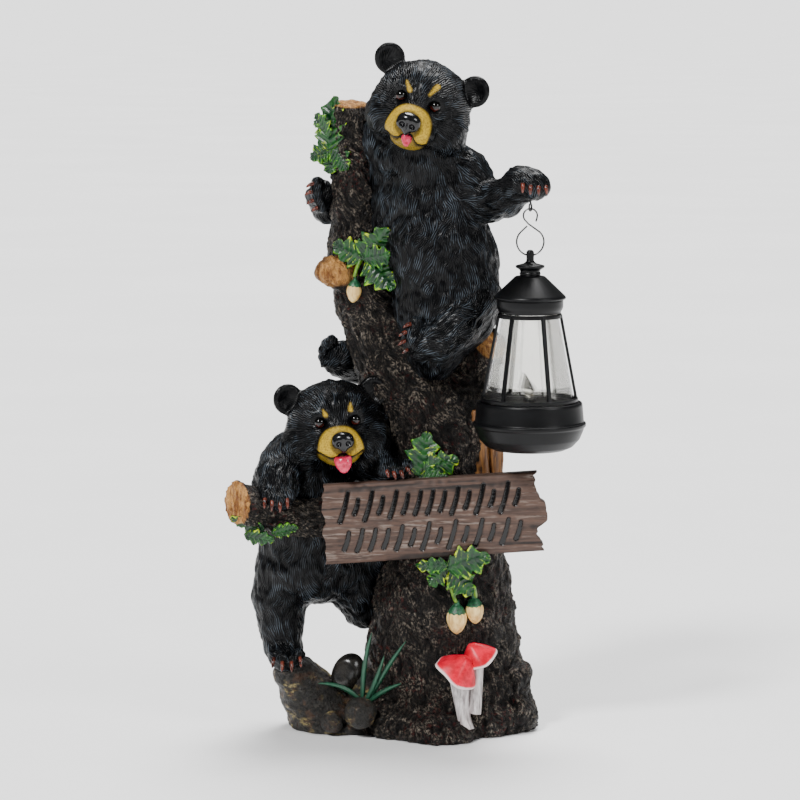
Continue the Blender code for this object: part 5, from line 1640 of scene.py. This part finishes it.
class STATUE_OT_lantern(StatueOperator, bpy.types.Operator):
    """Build the lantern's turned roof, cage, clear window, tub, deck and bulb, and its wire hook"""

    bl_idname = "statue.lantern"
    bl_label = "Lantern"

    def execute(self, context):
        sides = self.sizes().lathe_sides
        # Moulded ABS straight from a satin tool: even black with soft broad lights
        plastic = two_tone(
            "satin_moulded_abs", "#040405", self.colours().plastic, 9 * MM, 0.36, 0.08 * MM, (3, 3, 1),
            specular=0.22,
        )
        # Black lacquer on drawn steel wire: thin bright lines along the bends
        wire = two_tone("black_lacquered_wire", "#0B0B0B", "#1B1B1C", 2 * MM, 0.3, 0.05 * MM)
        for node in ("screw_eye", "hanging_hook"):
            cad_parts[node].data.materials.clear()
            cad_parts[node].data.materials.append(wire)
            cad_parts[node].data.shade_smooth()
        self.roof(plastic, sides)
        self.cage(plastic, sides)
        self.window(sides)
        self.tub(plastic, sides)
        self.deck(plastic, sides)
        self.bulb()
        return {"FINISHED"}

    def roof(self, plastic, sides):
        low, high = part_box("lantern_roof")
        top, foot = high.z / MM, low.z / MM
        eave = foot + 10.2
        outline = [
            (0, top), (1.6, top - 0.3), (2.5, top - 1.6), (2.4, top - 7.2), (4.0, top - 8.6),
            (9.2, top - 10.0), (9.2, top - 11.2), (6.6, top - 12.8), (6.2, top - 14.0),
            (6.9, top - 15.2), (6.2, top - 16.2),
            (9.4, top - 16.8), (22.3, eave + 0.8), (22.9, eave - 0.4), (22.4, eave - 1.3), (20.9, eave - 1.5),
            (21.1, eave - 2.2), (21.1, eave - 6.0), (20.6, eave - 7.6), (19.8, eave - 8.8), (19.6, foot),
            (17.9, foot), (17.9, eave - 2), (8.0, top - 19.6), (0, top - 19.6),
        ]
        lathe("roof", rounded(outline, 0.7), "lantern_roof", plastic, sides)

    def cage(self, plastic, sides):
        low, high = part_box("lantern_cage")
        top, foot = high.z / MM, low.z / MM
        foot_ring = rounded([(29.0, foot), (30.8, foot), (30.8, foot + 2.6), (29.0, foot + 2.6)], 0.5)
        head_ring = rounded([(18.4, top - 2.6), (20.3, top - 2.6), (20.1, top), (18.4, top)], 0.4)
        for name, outline in (("cage_foot_ring", foot_ring), ("cage_head_ring", head_ring)):
            lathe(name, outline, "lantern_cage", plastic, sides)
        x, y = lantern_axis()
        shells = []
        for k in range(6):
            angle = -math.pi / 2 + math.radians(23) + k * math.pi / 3
            out = np.array([math.cos(angle), math.sin(angle), 0])
            side = np.array([-math.sin(angle), math.cos(angle), 0])
            corners = []
            for z, inner in ((foot + 0.4, 28.95), (top - 0.4, 18.55)):
                for d, w in ((0, -1.35), (0, 1.35), (1.3, 1.35), (1.75, 0.85), (1.75, -0.85), (1.3, -1.35)):
                    corners.append(np.array([x, y, z]) + out * (inner + d) + side * w)
            faces = [[i, (i + 1) % 6, (i + 1) % 6 + 6, i + 6] for i in range(6)]
            faces += [[3, 2, 1, 0], [5, 4, 3, 0], [6, 7, 8, 9], [6, 9, 10, 11]]
            shells.append((np.array(corners), np.array(faces), np.zeros(12)))
        points, faces, _ = joined(shells)
        ribs = finish_mesh("cage_ribs", points, faces, plastic, smooth=False)
        belongs(ribs, "lantern_cage")

    def window(self, sides):
        low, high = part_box("lantern_window")
        top, foot = high.z / MM, low.z / MM
        outline = [(17.8, top), (28.4, foot), (27.5, foot), (16.9, top)]
        clear = clear_plastic("clear_moulded_plastic", "#F3F2EA", 0.03, 0.45, 30 * MM, 0.2 * MM, 0.1)
        lathe("window", outline, "lantern_window", clear, sides, 60)

    def tub(self, plastic, sides):
        low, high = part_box("lantern_base")
        foot, top = low.z / MM, high.z / MM
        bead = foot + 16.4
        outline = [
            (0, foot + 0.5), (18.5, foot + 0.5), (19.5, foot), (22.5, foot), (27.5, foot + 2.2),
            (32.0, foot + 7.0), (34.2, foot + 12.4), (34.8, bead - 2.0), (35.9, bead - 1.1),
            (35.9, bead + 1.0), (34.6, bead + 1.6), (33.6, top - 1.4), (33.0, top), (31.8, top),
            (31.8, top - 2.4), (30.0, top - 4.2), (27.0, foot + 9.0), (21.0, foot + 2.0), (0, foot + 2.0),
        ]
        lathe("battery_tub", rounded(outline, 0.8), "lantern_base", plastic, sides)

    def deck(self, plastic, sides):
        low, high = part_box("lantern_deck")
        foot, top = low.z / MM, high.z / MM
        level = top - 2.5
        outline = [
            (0, foot), (31.4, foot), (31.5, level), (26.5, level), (26.0, level - 0.5), (12.0, level - 0.5),
            (11.5, level + 0.3), (4.4, level + 0.3), (3.6, top), (1.8, top), (0, top),
        ]
        lathe("deck", rounded(outline, 0.3), "lantern_deck", plastic, sides)

    def bulb(self):
        low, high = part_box("lantern_bulb")
        foot, top = low.z / MM, high.z / MM
        tall = top - foot
        shares = (
            (0, 1), (0.16, 0.93), (0.42, 0.74), (0.78, 0.52), (0.99, 0.34), (0.94, 0.18), (0.66, 0.05),
            (0.6, 0), (0, 0),
        )
        outline = smooth_profile([(r * 4.3, foot + h * tall) for r, h in shares], 4)
        clear = clear_plastic("clear_cast_bulb", "#EDEBE2", 0.05, 0.85, 2 * MM, 0.3 * MM, 0.3)
        bulb = lathe("flame_bulb", outline, "lantern_bulb", clear, 40, 60)
        # It leans to the left, as in the solid
        for corner in bulb.data.vertices:
            corner.co.x -= 0.2 * (corner.co.z - foot * MM)


class STATUE_OT_stage(StatueOperator, bpy.types.Operator):
    """Build the pale floor, the soft lights and the camera at the photograph's angle"""

    bl_idname = "statue.stage"
    bl_label = "Stage"

    def execute(self, context):
        self.floor()
        self.lights()
        self.camera()
        return {"FINISHED"}

    def floor(self):
        bm = bmesh.new()
        bmesh.ops.create_grid(bm, x_segments=1, y_segments=1, size=700)
        mesh = bpy.data.meshes.new("floor")
        bm.to_mesh(mesh)
        bm.free()
        floor = bpy.data.objects.new("floor", mesh)
        bpy.context.scene.collection.objects.link(floor)
        floor.location.z = -0.0005
        # Matt backdrop paper, almost white
        paper = two_tone("pale_backdrop_paper", "#EFEFEF", "#F4F4F4", 0.5, 0.8, 0.0001)
        mesh.materials.append(paper)

    def lights(self):
        world = bpy.data.worlds.new("studio")
        world.use_nodes = True
        backdrop = world.node_tree.nodes["Background"]
        backdrop.inputs["Color"].default_value = (1, 1, 1, 1)
        backdrop.inputs["Strength"].default_value = 0.13
        bpy.context.scene.world = world
        # Large soft boxes far away: each lights the floor evenly, with a soft shadow
        lamps = (
            ("key", (-0.9, -1.3, 1.5), 12.0, 3.0),
            ("fill", (1.3, -1.0, 0.9), 20.0, 1.1),
            ("top", (0.1, 0.3, 1.0), 30.0, 4.6),
            ("back", (0.2, 1.0, 1.2), 30.0, 0.8),
        )
        for name, place, angle, strength in lamps:
            light = bpy.data.lights.new(name, "SUN")
            light.angle = math.radians(angle)
            light.energy = strength
            lamp = bpy.data.objects.new(name, light)
            bpy.context.scene.collection.objects.link(lamp)
            lamp.location = place
            lamp.rotation_euler = (-Vector(place)).to_track_quat("-Z", "Y").to_euler()

    def camera(self):
        elevation = math.radians(6.8)
        distance, view_width = 2.2, 0.52
        aim = Vector((0, 0, 0.214))
        lens = bpy.data.cameras.new("camera")
        lens.sensor_width = 36
        lens.lens = lens.sensor_width * distance / view_width
        camera = bpy.data.objects.new("camera", lens)
        bpy.context.scene.collection.objects.link(camera)
        camera.location = aim + Vector((0, -math.cos(elevation), math.sin(elevation))) * distance
        camera.rotation_euler = (aim - camera.location).to_track_quat("-Z", "Y").to_euler()
        bpy.context.scene.camera = camera


class STATUE_PT_panel(bpy.types.Panel):
    """Lists the statue's sizes, colours and steps"""

    bl_idname = "STATUE_PT_panel"
    bl_label = "Bear Garden Statue"
    bl_space_type = "VIEW_3D"
    bl_region_type = "UI"
    bl_category = "Statue"

    def draw(self, context):
        for group in (context.scene.statue_sizes, context.scene.statue_colours):
            for name in group.bl_rna.properties.keys():
                if name not in {"rna_type", "name"}:
                    self.layout.prop(group, name)
        for step in STEPS:
            self.layout.operator(step.bl_idname)


STEPS = (
    STATUE_OT_stage,
    STATUE_OT_stump,
    STATUE_OT_cubs,
    STATUE_OT_board,
    STATUE_OT_plants,
    STATUE_OT_stones,
    STATUE_OT_lantern,
)
CLASSES = (StatueSizes, StatueColours, *STEPS, STATUE_PT_panel)


def register():
    for each in CLASSES:
        bpy.utils.register_class(each)
    bpy.types.Scene.statue_sizes = bpy.props.PointerProperty(type=StatueSizes)
    bpy.types.Scene.statue_colours = bpy.props.PointerProperty(type=StatueColours)


def unregister():
    del bpy.types.Scene.statue_colours
    del bpy.types.Scene.statue_sizes
    for each in reversed(CLASSES):
        bpy.utils.unregister_class(each)


def main():
    register()
    for step in STEPS:
        group, name = step.bl_idname.split(".")
        getattr(getattr(bpy.ops, group), name)()


if __name__ == "__main__":
    main()
